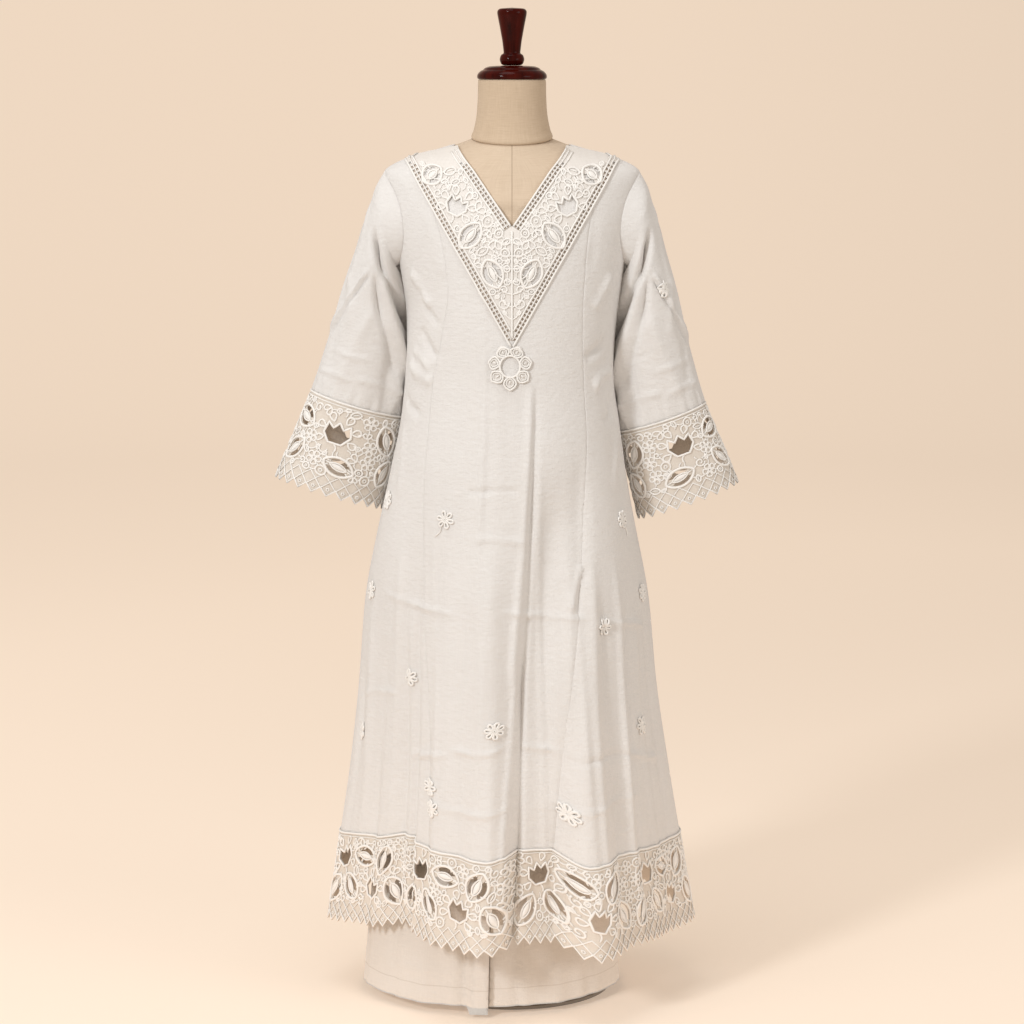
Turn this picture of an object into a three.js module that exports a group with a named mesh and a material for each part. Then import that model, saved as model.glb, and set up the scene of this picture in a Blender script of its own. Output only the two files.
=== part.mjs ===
// A white salwar suit on its dress form: a long A-line kurta with cutwork lace over wide trousers.
// Millimetres, +Z up. The front faces -Y, and left and right are the viewer's (-X and +X).
// The origin is the middle of the stand's base, on the floor.
import * as THREE from 'three';

// Cloth thicknesses and clearances
const CLOTH = 1.2;
const LACE = 1.4;
const SEAM = 0.3;
const ARMHOLE_GAP = { top: 1.1, low: 3 };
const NEAR = 0.1;
const ROW_NEAR = 1;
const SAME = 1e-6;

// Heights of the kurta, before the hem's rise and fall is added
const HEM = 105;
const LACE_HEIGHT = 138;
const LEVEL_ROW = 640;
const FOLD_START = 860;
const FOLD_POWER = 1.3;
const UNDERARM = 1102;
const SHOULDER_TIP = 1241;
const NECK_POINT = 1280;
const NECK_SEAM = 1287.5;
const BACK_NECK = 1263;
const NECK_TILT = 8.5;

// Heights of the trousers and the dress form
const TROUSER_HEM = 14;
const STRIP_END = 3;
const CROTCH = 640;
const WAIST = 930;
const WAISTBAND_HEIGHT = 30;
const TORSO_BOTTOM = 700;
const NECK_TOP = 1374.7;
const CAP_TOP = 1391;
const FINIAL_TOP = 1476;

// The stand
const POLE_RADIUS = 16;
const BASE_RADIUS = 150;
const BASE_HEIGHT = 8;

// Kurta sections: half-widths to the left and right, depths to the front and back, and the power of the
// oval (2 is an ellipse)
const kurtaSections = [
  { height: 105, left: 281, right: 279, front: 265, back: 262, power: 2 },
  { height: 243, left: 261, right: 255, front: 240, back: 240, power: 2 },
  { height: 344, left: 246, right: 238, front: 222, back: 224, power: 2 },
  { height: 468, left: 232, right: 219, front: 203, back: 205, power: 2 },
  { height: 592, left: 222, right: 207, front: 186, back: 188, power: 2 },
  { height: 714, left: 206, right: 190, front: 168, back: 172, power: 2.05 },
  { height: 805, left: 186, right: 174, front: 156, back: 158, power: 2.1 },
  { height: 865, left: 170, right: 163, front: 148, back: 142, power: 2.1 },
  { height: 926, left: 160, right: 152, front: 141, back: 127, power: 2.1 },
  { height: 986, left: 157, right: 153, front: 136, back: 115, power: 2.1 },
  { height: 1045, left: 158, right: 159, front: 132, back: 107, power: 2.1 },
  { height: 1102, left: 168, right: 168, front: 127, back: 104, power: 2.1 },
  { height: 1140, left: 174, right: 174, front: 121, back: 104, power: 2.1 },
  { height: 1175, left: 180, right: 180, front: 110, back: 102, power: 2.1 },
  { height: 1207, left: 186, right: 186, front: 98, back: 97, power: 2 },
  { height: 1228, left: 190, right: 190, front: 89, back: 89, power: 1.9 },
  { height: 1241, left: 188, right: 188, front: 83, back: 83, power: 1.75 },
  { height: 1252, left: 172, right: 172, front: 78, back: 78, power: 1.65 },
  { height: 1262, left: 146, right: 146, front: 73, back: 73, power: 1.6 },
  { height: 1271, left: 112, right: 112, front: 68, back: 68, power: 1.6 },
  { height: 1280, left: 81, right: 81, front: 64, back: 64, power: 1.8 },
  { height: 1287.5, left: 60, right: 60, front: 60, back: 60, power: 2 },
];

// Ridges and troughs of the skirt, round from the left side: how far each stands out from the oval at
// the hem, and the hem's height there
const skirtFolds = [
  { angle: -90, reach: 0, hem: 118 },
  { angle: -63, reach: -38, hem: 134 },
  { angle: -45, reach: -60, hem: 147 },
  { angle: -41, reach: -61, hem: 145 },
  { angle: -37.5, reach: -40, hem: 128 },
  { angle: -22.5, reach: -13, hem: 118 },
  { angle: -8.5, reach: 0, hem: 112 },
  { angle: 1.5, reach: -48, hem: 121 },
  { angle: 14, reach: -30, hem: 119 },
  { angle: 26, reach: 11, hem: 99 },
  { angle: 45, reach: -18, hem: 111 },
  { angle: 66, reach: -27, hem: 113 },
  { angle: 90, reach: 0, hem: 117 },
  { angle: 110, reach: -16, hem: 113 },
  { angle: 127, reach: 5, hem: 105 },
  { angle: 146, reach: -34, hem: 116 },
  { angle: 163, reach: -2, hem: 106 },
  { angle: 181, reach: -32, hem: 115 },
  { angle: 199, reach: 2, hem: 105 },
  { angle: 217, reach: -36, hem: 116 },
  { angle: 236, reach: 0, hem: 107 },
  { angle: 253, reach: -18, hem: 113 },
  { angle: 270, reach: 0, hem: 118 },
];

// Soft hollows that the sleeves press into the kurta's sides
const sideHollows = [
  { angle: -102, height: 765, reach: -14, angleSpan: 44, heightSpan: 175 },
  { angle: 102, height: 765, reach: -12, angleSpan: 44, heightSpan: 175 },
  { angle: 258, height: 765, reach: -14, angleSpan: 44, heightSpan: 175 },
];

// Princess seams, as angles round the kurta at each height
const princessSeams = [
  { height: 243, left: -31, right: 17 },
  { height: 400, left: -33, right: 21 },
  { height: 560, left: -36.8, right: 27.8 },
  { height: 680, left: -39, right: 33 },
  { height: 800, left: -43, right: 38 },
  { height: 926, left: -46, right: 43 },
  { height: 1000, left: -40, right: 41 },
  { height: 1075, left: -34, right: 39 },
  { height: 1175, left: -37, right: 39 },
  { height: 1241, left: -46, right: 46 },
  { height: 1267, left: -90, right: 90 },
];

// Dress form sections below the stretch where the kurta rests on it
const torsoSections = [
  { height: 700, side: 148, front: 112, back: 118 },
  { height: 760, side: 152, front: 116, back: 126 },
  { height: 805, side: 152, front: 114, back: 130 },
  { height: 865, side: 144, front: 108, back: 120 },
  { height: 930, side: 131, front: 100, back: 102 },
  { height: 960, side: 127, front: 98, back: 94 },
  { height: 1000, side: 127, front: 100, back: 90 },
  { height: 1045, side: 134, front: 108, back: 92 },
  { height: 1102, side: 152, front: 122, back: 97 },
  { height: 1145, side: 164, front: 115, back: 99 },
  { height: 1185, side: 175, front: 102, back: 97 },
];
const TORSO_POWER = 2.1;
const RESTS_FROM = 1200;
const ARMHOLE_INSET = 4;

// Sleeve rings from the cuff's edge up to the armhole: the outer and inner ends of each ring in the front
// view, its half-depth, and how far its middle lies behind the form's middle
const sleeveRings = {
  left: [
    { up: 0, outerX: 356, outerZ: 781, innerX: 203, innerZ: 732, depth: 48, behind: 14 },
    { up: 47, outerX: 337, outerZ: 826, innerX: 194, innerZ: 779, depth: 48, behind: 14 },
    { up: 94, outerX: 318, outerZ: 870, innerX: 183, innerZ: 826, depth: 48, behind: 13 },
    { up: 140, outerX: 300, outerZ: 914, innerX: 174, innerZ: 873, depth: 48, behind: 12 },
    { up: 200, outerX: 281, outerZ: 972, innerX: 163, innerZ: 935, depth: 50, behind: 9 },
    { up: 265, outerX: 261, outerZ: 1032, innerX: 160.5, innerZ: 998, depth: 53, behind: 6 },
    { up: 335, outerX: 239, outerZ: 1100, innerX: 164.5, innerZ: 1056, depth: 55, behind: 3 },
    { up: 400, outerX: 219, outerZ: 1162, innerX: 168.5, innerZ: 1080, depth: 54, behind: 1 },
    { up: 445, outerX: 205, outerZ: 1208, innerX: 171.5, innerZ: 1091, depth: 51, behind: 0 },
  ],
  right: [
    { up: 0, outerX: 340, outerZ: 772, innerX: 198, innerZ: 717, depth: 50, behind: 14 },
    { up: 47, outerX: 324, outerZ: 813, innerX: 189, innerZ: 762, depth: 49, behind: 14 },
    { up: 94, outerX: 306, outerZ: 854, innerX: 179, innerZ: 807, depth: 48, behind: 13 },
    { up: 140, outerX: 289, outerZ: 895, innerX: 168, innerZ: 850, depth: 48, behind: 12 },
    { up: 200, outerX: 272, outerZ: 955, innerX: 158.5, innerZ: 915, depth: 50, behind: 9 },
    { up: 265, outerX: 254, outerZ: 1020, innerX: 157, innerZ: 984, depth: 53, behind: 6 },
    { up: 335, outerX: 235, outerZ: 1094, innerX: 163.5, innerZ: 1048, depth: 55, behind: 3 },
    { up: 400, outerX: 217, outerZ: 1160, innerX: 168, innerZ: 1078, depth: 54, behind: 1 },
    { up: 445, outerX: 204, outerZ: 1208, innerX: 171.5, innerZ: 1091, depth: 51, behind: 0 },
  ],
};
const CUFF_HEIGHT = 140;
const SLEEVE_TOP = 486;
const ARMHOLE_SPAN = 27;
const MM_PER_ARMHOLE_DEGREE = 2.6;

// Trouser sections: the line that parts the legs, the outer ends, and the front and back depths
const trouserSections = [
  { height: 3, division: -35, left: -227, right: 164, front: 179, back: 179 },
  { height: 110, division: -33, left: -217, right: 157, front: 168, back: 169 },
  { height: 240, division: -31, left: -206, right: 151, front: 159, back: 160 },
  { height: 420, division: -27, left: -191, right: 149, front: 149, back: 152 },
  { height: 640, division: -22, left: -172, right: 157, front: 138, back: 148 },
  { height: 760, division: -10, left: -164, right: 161, front: 130, back: 142 },
  { height: 850, division: -3, left: -155, right: 155, front: 119, back: 132 },
];
const LEG_FLAT_GAP = 0.9;

// The narrow fold that hangs a little lower at the front of the left leg's inner edge
const strip = { to: 8, foot: 9.5, reach: 13, start: 420, growth: 150 };

// Lace layouts: gaps by their place, size and turn. "along" runs over one repeat, "up" from the edge.
const hemRepeat = [
  { kind: 'eye', along: 0.11, up: 50, length: 44, width: 28, turn: -32 },
  { kind: 'tulip', along: 0.23, up: 101, length: 30, width: 36, turn: 12 },
  { kind: 'eye', along: 0.36, up: 57, length: 40, width: 26, turn: 38 },
  { kind: 'eye', along: 0.5, up: 104, length: 40, width: 25, turn: 78 },
  { kind: 'tulip', along: 0.62, up: 58, length: 30, width: 30, turn: -18 },
  { kind: 'eye', along: 0.76, up: 100, length: 40, width: 27, turn: -24 },
  { kind: 'eye', along: 0.87, up: 52, length: 42, width: 27, turn: 26 },
];
const HEM_REPEATS = 8;
const HEM_TEETH = 11;
const HEM_MM_PER_DEGREE = 4.5;
const cuffRepeat = [
  { kind: 'eye', along: 0.16, up: 104, length: 40, width: 26, turn: 68 },
  { kind: 'eye', along: 0.17, up: 54, length: 38, width: 24, turn: -40 },
  { kind: 'tulip', along: 0.45, up: 94, length: 30, width: 34, turn: 0 },
  { kind: 'eye', along: 0.52, up: 47, length: 36, width: 22, turn: 74 },
  { kind: 'eye', along: 0.79, up: 100, length: 40, width: 26, turn: 24 },
  { kind: 'eye', along: 0.84, up: 52, length: 36, width: 23, turn: -22 },
];
const CUFF_TEETH = 11;
const CUFF_MM_PER_DEGREE = 1.13;
const TOOTH_DEPTH = 11;
const yokeGaps = [
  { kind: 'eye', across: 116, height: 1236, length: 26, width: 24, turn: 52 },
  { kind: 'tulip', across: 80, height: 1192, length: 26, width: 28, turn: 26 },
  { kind: 'eye', across: 60, height: 1150, length: 38, width: 24, turn: 38 },
  { kind: 'eye', across: 28, height: 1096, length: 38, width: 25, turn: -24 },
];

// Yoke outline in the front view, from its tip up the outer edge, and up the V's edge
const yokeOuter = [
  { across: 9, height: 1001 },
  { across: 36, height: 1049 },
  { across: 64, height: 1098 },
  { across: 92, height: 1146 },
  { across: 119, height: 1192 },
  { across: 139, height: 1226 },
  { across: 152, height: 1248 },
];
const vNeck = [
  { across: 0, height: 1163 },
  { across: 20, height: 1192 },
  { across: 40, height: 1221 },
  { across: 58, height: 1247 },
  { across: 70, height: 1264 },
];
const YOKE_SHOULDER = 1257;

// The flower at the yoke's tip
const flower = { x: -3, z: 962, petals: 7, radius: 33, waist: 25, bulge: 0.8, holeWidth: 15, holeHeight: 17 };

const DEGREE = Math.PI / 180;
const sin = (angle) => Math.sin(angle * DEGREE);
const cos = (angle) => Math.cos(angle * DEGREE);
const smooth = (t) => t * t * (3 - 2 * t);
const clamp = (t) => Math.min(1, Math.max(0, t));
const mix = (a, b, t) => a + (b - a) * t;
function range(from, to, step) {
  const length = Math.round((to - from) / step) + 1;
  return Array.from({ length }, (_, i) => from + i * step);
}

// Value of one column of a table at x, by a smooth curve through its rows
function curveAt(rows, key, column, x) {
  const last = rows.length - 1;
  let i = rows.findIndex((row) => row[key] > x) - 1;
  if (i < 0) i = x < rows[0][key] ? 0 : last - 1;
  const slope = (j) => {
    const low = rows[Math.max(0, j - 1)];
    const high = rows[Math.min(last, j + 1)];
    return (high[column] - low[column]) / (high[key] - low[key]);
  };
  const span = rows[i + 1][key] - rows[i][key];
  const t = clamp((x - rows[i][key]) / span);
  const rise = rows[i + 1][column] - rows[i][column];
  const bend = t * (1 - t) * ((slope(i) * span - rise) * (1 - t) - (slope(i + 1) * span - rise) * t);
  return rows[i][column] + rise * t + bend;
}

// Value of one column between ridges and troughs, level at each row
function waveAt(rows, key, column, x) {
  const i = Math.min(rows.length - 2, Math.max(0, rows.findIndex((row) => row[key] > x) - 1));
  const high = x >= rows[rows.length - 1][key] ? rows.length - 2 : i;
  const t = clamp((x - rows[high][key]) / (rows[high + 1][key] - rows[high][key]));
  return mix(rows[high][column], rows[high + 1][column], smooth(t));
}

// Point of an oval with its own half-width and depth on each side; angle 0 is the front, 90 the right
function ovalPoint(angle, left, right, front, back, power, z) {
  const s = sin(angle);
  const c = cos(angle);
  const x = (s < 0 ? -left : right) * Math.abs(s) ** (2 / power);
  const y = (c < 0 ? back : -front) * Math.abs(c) ** (2 / power);
  return new THREE.Vector3(x, y, z);
}

function sectionAt(rows, height, columns) {
  return columns.map((column) => curveAt(rows, 'height', column, height));
}

const KURTA_COLUMNS = ['left', 'right', 'front', 'back', 'power'];

// Middle surface of the kurta's cloth at an angle round it and a height up it
function kurtaPoint(angle, height) {
  const [left, right, front, back, power] = sectionAt(kurtaSections, height, KURTA_COLUMNS);
  const hemLevel = smooth(clamp((LEVEL_ROW - height) / (LEVEL_ROW - HEM - LACE_HEIGHT)));
  const neckLevel = clamp((height - SHOULDER_TIP) / (NECK_SEAM - SHOULDER_TIP));
  const rise = waveAt(skirtFolds, 'angle', 'hem', angle) - HEM;
  const z = height + rise * hemLevel - NECK_TILT * cos(angle) * neckLevel;
  const point = ovalPoint(angle, left, right, front, back, power, z);
  const growth = clamp((FOLD_START - height) / (FOLD_START - HEM)) ** FOLD_POWER;
  let reach = waveAt(skirtFolds, 'angle', 'reach', angle) * growth;
  for (const hollow of sideHollows) {
    const across = clamp(1 - Math.abs(angle - hollow.angle) / hollow.angleSpan);
    const along = clamp(1 - Math.abs(height - hollow.height) / hollow.heightSpan);
    reach += hollow.reach * smooth(across) * smooth(along);
  }
  point.x += reach * sin(angle);
  point.y -= reach * cos(angle);
  return point;
}

// A surface known at the crossings of a grid and flat between them: each cell is two triangles, parted
// by the line from its low corner to its high corner
class GridSurface {
  constructor(columns, rows, pointAt, facing) {
    this.columns = columns;
    this.rows = rows;
    this.facing = facing;
    const step = 0.01;
    this.points = columns.map((u) => rows.map((v) => pointAt(u, v)));
    this.normals = columns.map((u) => rows.map((v) => {
      const along = pointAt(u + step, v).sub(pointAt(u - step, v));
      const low = Math.max(rows[0], v - step);
      const high = Math.min(rows[rows.length - 1], v + step);
      const up = pointAt(u, high).sub(pointAt(u, low));
      return along.cross(up).normalize().multiplyScalar(facing);
    }));
  }

  // Point of the surface at (u, v), moved out along its normal
  at(u, v, out) {
    const find = (lines, x) => {
      const i = lines.findIndex((line) => line > x) - 1;
      return i < 0 ? (x < lines[0] ? 0 : lines.length - 2) : i;
    };
    const i = find(this.columns, u);
    const j = find(this.rows, v);
    const a = (u - this.columns[i]) / (this.columns[i + 1] - this.columns[i]);
    const b = (v - this.rows[j]) / (this.rows[j + 1] - this.rows[j]);
    const corner = a > b ? [i + 1, j] : [i, j + 1];
    const low = [i, j, 1 - Math.max(a, b)];
    const weights = [low, [...corner, Math.abs(a - b)], [i + 1, j + 1, Math.min(a, b)]];
    const point = new THREE.Vector3();
    for (const [p, q, weight] of weights) {
      point.addScaledVector(this.points[p][q], weight);
      point.addScaledVector(this.normals[p][q], weight * out);
    }
    return point;
  }
}

// The part of a convex polygon on one side of a line, where level(corner) is not below zero
function keepSide(polygon, level, place) {
  const kept = [];
  polygon.forEach((a, i) => {
    const b = polygon[(i + 1) % polygon.length];
    const levelA = level(a);
    const levelB = level(b);
    if (levelA >= 0) kept.push(a);
    if (levelA * levelB < 0) {
      const inOrder = a[0] < b[0] || (a[0] === b[0] && a[1] < b[1]);
      const [from, to, start, end] = inOrder ? [a, b, levelA, levelB] : [b, a, levelB, levelA];
      const t = start / (start - end);
      kept.push(place([mix(from[0], to[0], t), mix(from[1], to[1], t)]));
    }
  });
  return kept.length > 2 ? kept : null;
}

function splitBy(polygons, level, place) {
  const exact = (corner) => (Math.abs(level(corner)) < 1e-9 ? 0 : level(corner));
  return polygons.flatMap((polygon) => {
    const levels = polygon.map(exact);
    if (levels.every((x) => x >= 0) || levels.every((x) => x <= 0)) return [polygon];
    const sides = [keepSide(polygon, exact, place), keepSide(polygon, (corner) => -exact(corner), place)];
    return sides.filter((side) => side);
  });
}

// Cuts a flat region along the surface's grid, so that each piece lies on one flat facet
function facetPieces(outline, holes, surface) {
  const crossed = (lines, axis) => {
    const values = outline.map((corner) => corner[axis]);
    return lines.filter((line) => line > Math.min(...values) + NEAR && line < Math.max(...values) - NEAR);
  };
  const columns = crossed(surface.columns, 0);
  const rows = crossed(surface.rows, 1);
  const snap = (lines, x) => lines.find((line) => Math.abs(line - x) < NEAR) ?? x;
  const settle = ([u, v]) => new THREE.Vector2(snap(columns, u), snap(rows, v));
  const outer = outline.map(settle);
  const inner = holes.map((hole) => hole.map(settle));
  if (THREE.ShapeUtils.isClockWise(outer)) outer.reverse();
  for (const hole of inner) if (!THREE.ShapeUtils.isClockWise(hole)) hole.reverse();
  const corners = [outer, ...inner].flat();
  const faces = THREE.ShapeUtils.triangulateShape(outer, inner);
  let pieces = faces.map((face) => face.map((i) => [corners[i].x, corners[i].y]));
  for (const u of columns) {
    pieces = splitBy(pieces, (corner) => corner[0] - u, (corner) => [u, corner[1]]);
  }
  for (const v of rows) {
    pieces = splitBy(pieces, (corner) => corner[1] - v, (corner) => [corner[0], v]);
  }
  return pieces.flatMap((piece) => {
    const middleU = piece.reduce((sum, corner) => sum + corner[0], 0) / piece.length;
    const middleV = piece.reduce((sum, corner) => sum + corner[1], 0) / piece.length;
    const i = Math.max(1, surface.columns.findIndex((line) => line > middleU));
    const j = Math.max(1, surface.rows.findIndex((line) => line > middleV));
    const [u0, u1] = [surface.columns[i - 1], surface.columns[i]];
    const [v0, v1] = [surface.rows[j - 1], surface.rows[j]];
    const level = (corner) => (corner[0] - u0) / (u1 - u0) - (corner[1] - v0) / (v1 - v0);
    return splitBy([piece], level, (corner) => corner).map((half) => {
      const below = half.reduce((sum, corner) => sum + level(corner), 0) > 0;
      return { facet: `${i},${j},${below}`, corners: half };
    });
  });
}

// Numbers the corners of a flat mesh, giving one number to corners at the same place
class CornerList {
  constructor() {
    this.corners = [];
    this.numbers = new Map();
  }

  indexOf([u, v]) {
    const key = `${Math.round(u / SAME)},${Math.round(v / SAME)}`;
    if (!this.numbers.has(key)) {
      this.numbers.set(key, this.corners.length);
      this.corners.push([u, v]);
    }
    return this.numbers.get(key);
  }
}

// Edges of faces that no other face runs back along, as [from, to]
function openEdges(faces) {
  const open = new Map();
  for (const face of faces) {
    face.forEach((a, i) => {
      const b = face[(i + 1) % face.length];
      if (!open.delete(`${b},${a}`)) open.set(`${a},${b}`, [a, b]);
    });
  }
  return [...open.values()];
}

// Closed loops through a list of edges
function loopsOf(edges) {
  const onward = new Map();
  for (const [a, b] of edges) onward.set(a, [...(onward.get(a) ?? []), b]);
  const loops = [];
  for (const first of onward.keys()) {
    while (onward.get(first).length) {
      const loop = [];
      let here = first;
      while (onward.get(here).length) {
        loop.push(here);
        here = onward.get(here).pop();
      }
      loops.push(loop);
    }
  }
  return loops;
}

const isNew = (k, i, all) => k !== all[(i + 1) % all.length];

// Triangles of a flat region, each within one facet of the surface
function facetTriangles(outline, holes, surface) {
  const list = new CornerList();
  const facets = new Map();
  for (const piece of facetPieces(outline, holes, surface)) {
    const face = piece.corners.map((corner) => list.indexOf(corner)).filter(isNew);
    if (face.length > 2) facets.set(piece.facet, [...(facets.get(piece.facet) ?? []), face]);
  }
  const { corners } = list;
  const turns = (a, b, c) => {
    const [[au, av], [bu, bv], [cu, cv]] = [corners[a], corners[b], corners[c]];
    const bend = (bu - au) * (cv - bv) - (bv - av) * (cu - bu);
    return Math.abs(bend) > 1e-5 * Math.hypot(bu - au, bv - av) * Math.hypot(cu - bu, cv - bv);
  };
  const loops = [...facets.values()].map((faces) => loopsOf(openEdges(faces)));
  const kept = new Set();
  for (const loop of loops.flat()) {
    loop.forEach((b, i) => {
      const a = loop[(i + loop.length - 1) % loop.length];
      if (turns(a, b, loop[(i + 1) % loop.length])) kept.add(b);
    });
  }
  const stands = corners.map((corner, k) => k);
  const standIn = (k) => (stands[k] === k ? k : standIn(stands[k]));
  const turning = loops.map((group) => group.map((loop) => loop.filter((k) => kept.has(k))));
  for (const loop of turning.flat()) {
    loop.forEach((a, i) => {
      const b = loop[(i + 1) % loop.length];
      const short = Math.hypot(corners[a][0] - corners[b][0], corners[a][1] - corners[b][1]) < NEAR;
      if (short) stands[standIn(Math.max(a, b))] = standIn(Math.min(a, b));
    });
  }
  const faces = [];
  for (const group of turning) {
    const shapes = group.map((loop) => loop.map(standIn).filter(isNew))
      .filter((loop) => loop.length > 2)
      .map((loop) => ({ loop, points: loop.map((k) => new THREE.Vector2(...corners[k])) }));
    const rims = shapes.filter(({ points }) => !THREE.ShapeUtils.isClockWise(points));
    const cuts = shapes.filter(({ points }) => THREE.ShapeUtils.isClockWise(points));
    for (const shape of rims) {
      const inside = rims.length > 1 ? [] : cuts;
      const order = [shape, ...inside].flatMap(({ loop }) => loop);
      const found = THREE.ShapeUtils.triangulateShape(shape.points, inside.map(({ points }) => points));
      faces.push(...found.map((face) => face.map((k) => order[k])));
    }
  }
  return { corners, faces };
}

// A closed wall of cloth over a region of a surface, from one height above the surface to another
function clothWall(surface, outline, holes, inside, outside) {
  const { corners, faces } = facetTriangles(outline, holes, surface);
  const outer = surface.facing < 0 ? faces.map(([a, b, c]) => [a, c, b]) : faces;
  const count = corners.length;
  const rim = openEdges(outer).flatMap(([a, b]) => [[b, a, a + count], [b, a + count, b + count]]);
  const inner = outer.map(([a, b, c]) => [a + count, c + count, b + count]);
  const points = [outside, inside].flatMap((out) => corners.map(([u, v]) => surface.at(u, v, out)));
  const geometry = new THREE.BufferGeometry().setFromPoints(points);
  geometry.setIndex([...outer, ...inner, ...rim].flat());
  return geometry;
}

// A solid through rings of points, closed by a fan at each end
function ringSolid(rings) {
  const count = rings[0].length;
  const middle = (ring) => ring.reduce((sum, p) => sum.add(p), new THREE.Vector3()).divideScalar(count);
  const points = [...rings.flat(), middle(rings[0]), middle(rings[rings.length - 1])];
  const top = (rings.length - 1) * count;
  const faces = [];
  for (let i = 0; i < count; i += 1) {
    const next = (i + 1) % count;
    for (let low = 0; low < top; low += count) {
      const high = low + count;
      faces.push([low + i, low + next, high + next], [low + i, high + next, high + i]);
    }
    faces.push([points.length - 2, next, i], [points.length - 1, top + i, top + next]);
  }
  const geometry = new THREE.BufferGeometry().setFromPoints(points);
  geometry.setIndex(faces.flat());
  return geometry;
}

// Gaps of the cutwork, in flat millimetres round their own middle. An eye is a pointed oval with a leaf
// left standing in it, so it is two crescents.
const eyeShape = { leaf: 0.42, outerEnd: 0.78, innerEnd: 0.45 };
function crescent(side, length, width) {
  const bow = (t, wide) => [side * (wide / 2) * (1 - t * t), (t * length) / 2];
  const { leaf, outerEnd, innerEnd } = eyeShape;
  const outer = [-outerEnd, 0, outerEnd].map((t) => bow(t, width));
  const inner = [innerEnd, -innerEnd].map((t) => bow(t, leaf * width));
  return [...outer, ...inner];
}

// Three pointed petals over a cup, as shares of the gap's width and length, from the cup's foot up
const tulipSide = [
  { across: 0.24, along: -0.45 },
  { across: 0.5, along: -0.05 },
  { across: 0.42, along: 0.44 },
  { across: 0.17, along: 0.2 },
];
function tulip(length, width) {
  const half = (side) => tulipSide.map(({ across, along }) => [side * across * width, along * length]);
  return [...half(1), [0, 0.5 * length], ...half(-1).reverse()];
}

function gapShapes({ kind, length, width, turn }) {
  const eye = () => [-1, 1].map((side) => crescent(side, length, width));
  const shapes = kind === 'tulip' ? [tulip(length, width)] : eye();
  const turned = ([x, y]) => [x * cos(turn) - y * sin(turn), x * sin(turn) + y * cos(turn)];
  return shapes.map((shape) => shape.map(turned));
}

// The lace's lower edge: pointed teeth from one end of a band to the other
function toothedEdge(from, to, teeth, low, depth) {
  const step = (to - from) / teeth;
  const edge = [];
  for (let i = 0; i < teeth; i += 1) {
    edge.push([from + (i + 0.5) * step, low]);
    if (i + 1 < teeth) edge.push([from + (i + 1) * step, low + depth]);
  }
  return [[from, low + depth], ...edge, [to, low + depth]];
}

// The kurta's surface
const shoulderRows = [1255, 1268];
const kurtaColumns = [...range(-90, 270, 9), -40.5, 13.5, 22.5].sort((a, b) => a - b);
const kurtaRows = [
  HEM, HEM + LACE_HEIGHT, 345, 450, 560, 670, 770, 850, 926, 986, 1045, UNDERARM,
  1145, 1185, 1217, SHOULDER_TIP, ...shoulderRows, NECK_POINT, NECK_SEAM,
];
const kurta = new GridSurface(kurtaColumns, kurtaRows, kurtaPoint, 1);

// Angle round the kurta of a point x in the front view
function angleOf(x, height) {
  const [left, right, , , power] = sectionAt(kurtaSections, height, KURTA_COLUMNS);
  const share = Math.min(1, Math.abs(x) / (x < 0 ? left : right)) ** (power / 2);
  return (Math.sign(x) * Math.asin(share)) / DEGREE;
}

// Angle of a seam's edge, half a seam's gap to one side of the seam's line
function seamEdge(angle, height, side) {
  const step = kurta.at(angle + side, height, 0).distanceTo(kurta.at(angle, height, 0));
  return angle + (side * SEAM) / 2 / step;
}

function seamRows(low, high) {
  return [low, ...kurtaRows.filter((row) => row > low + ROW_NEAR && row < high - ROW_NEAR), high];
}
const princess = (side, height) => curveAt(princessSeams, 'height', side, height);
const SHOULDER_SEAM = princessSeams[princessSeams.length - 1].height;
const PANEL_LOW = HEM + LACE_HEIGHT + SEAM / 2;
const NECK_EDGE = NECK_POINT - 1;
const shoulderEnd = { princess: SHOULDER_SEAM - 2, centre: SHOULDER_SEAM + 0.5, side: SHOULDER_SEAM - 0.5 };
const backNeck = [
  { angle: 120, height: 1273 },
  { angle: 150, height: 1266 },
  { angle: 180, height: BACK_NECK },
  { angle: 210, height: 1266 },
  { angle: 240, height: 1273 },
];

// Points of the armhole as [angle, height]; turn 0 is the shoulder's tip, 90 the front, 180 the underarm
const armholeTurns = range(0, 360, 18);
function armhole(side, turn, wider) {
  const height = mix(UNDERARM, SHOULDER_TIP, 0.5) + ((SHOULDER_TIP - UNDERARM) / 2 + wider) * cos(turn);
  const angle = 90 - (ARMHOLE_SPAN + wider / MM_PER_ARMHOLE_DEGREE) * sin(turn);
  return [side * angle, height];
}

// The armhole's edge on the panels, where a gap parts it from the sleeve's
function armholeEdge(side, from, to) {
  return armholeTurns.filter((turn) => turn > from && turn < to)
    .map((turn) => armhole(side, turn, mix(ARMHOLE_GAP.low, ARMHOLE_GAP.top, (1 + cos(turn)) / 2)));
}

function frontCentre() {
  const rows = seamRows(PANEL_LOW, shoulderEnd.princess);
  const right = rows.map((row) => [seamEdge(princess('right', row), row, -1), row]);
  const left = rows.map((row) => [seamEdge(princess('left', row), row, 1), row]).reverse();
  const neck = vNeck.map(({ across, height }) => [angleOf(across, height), height]);
  const neckTop = [seamEdge(90, NECK_EDGE, -1), NECK_EDGE];
  const shoulder = [seamEdge(90, shoulderEnd.centre, -1), shoulderEnd.centre];
  const mirrored = [...neck, neckTop, shoulder].map(([angle, height]) => [-angle, height]);
  const outline = [...right, shoulder, neckTop, ...neck.slice().reverse(), ...mirrored.slice(1), ...left];
  return clothWall(kurta, outline, [], -CLOTH / 2, CLOTH / 2);
}

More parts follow.
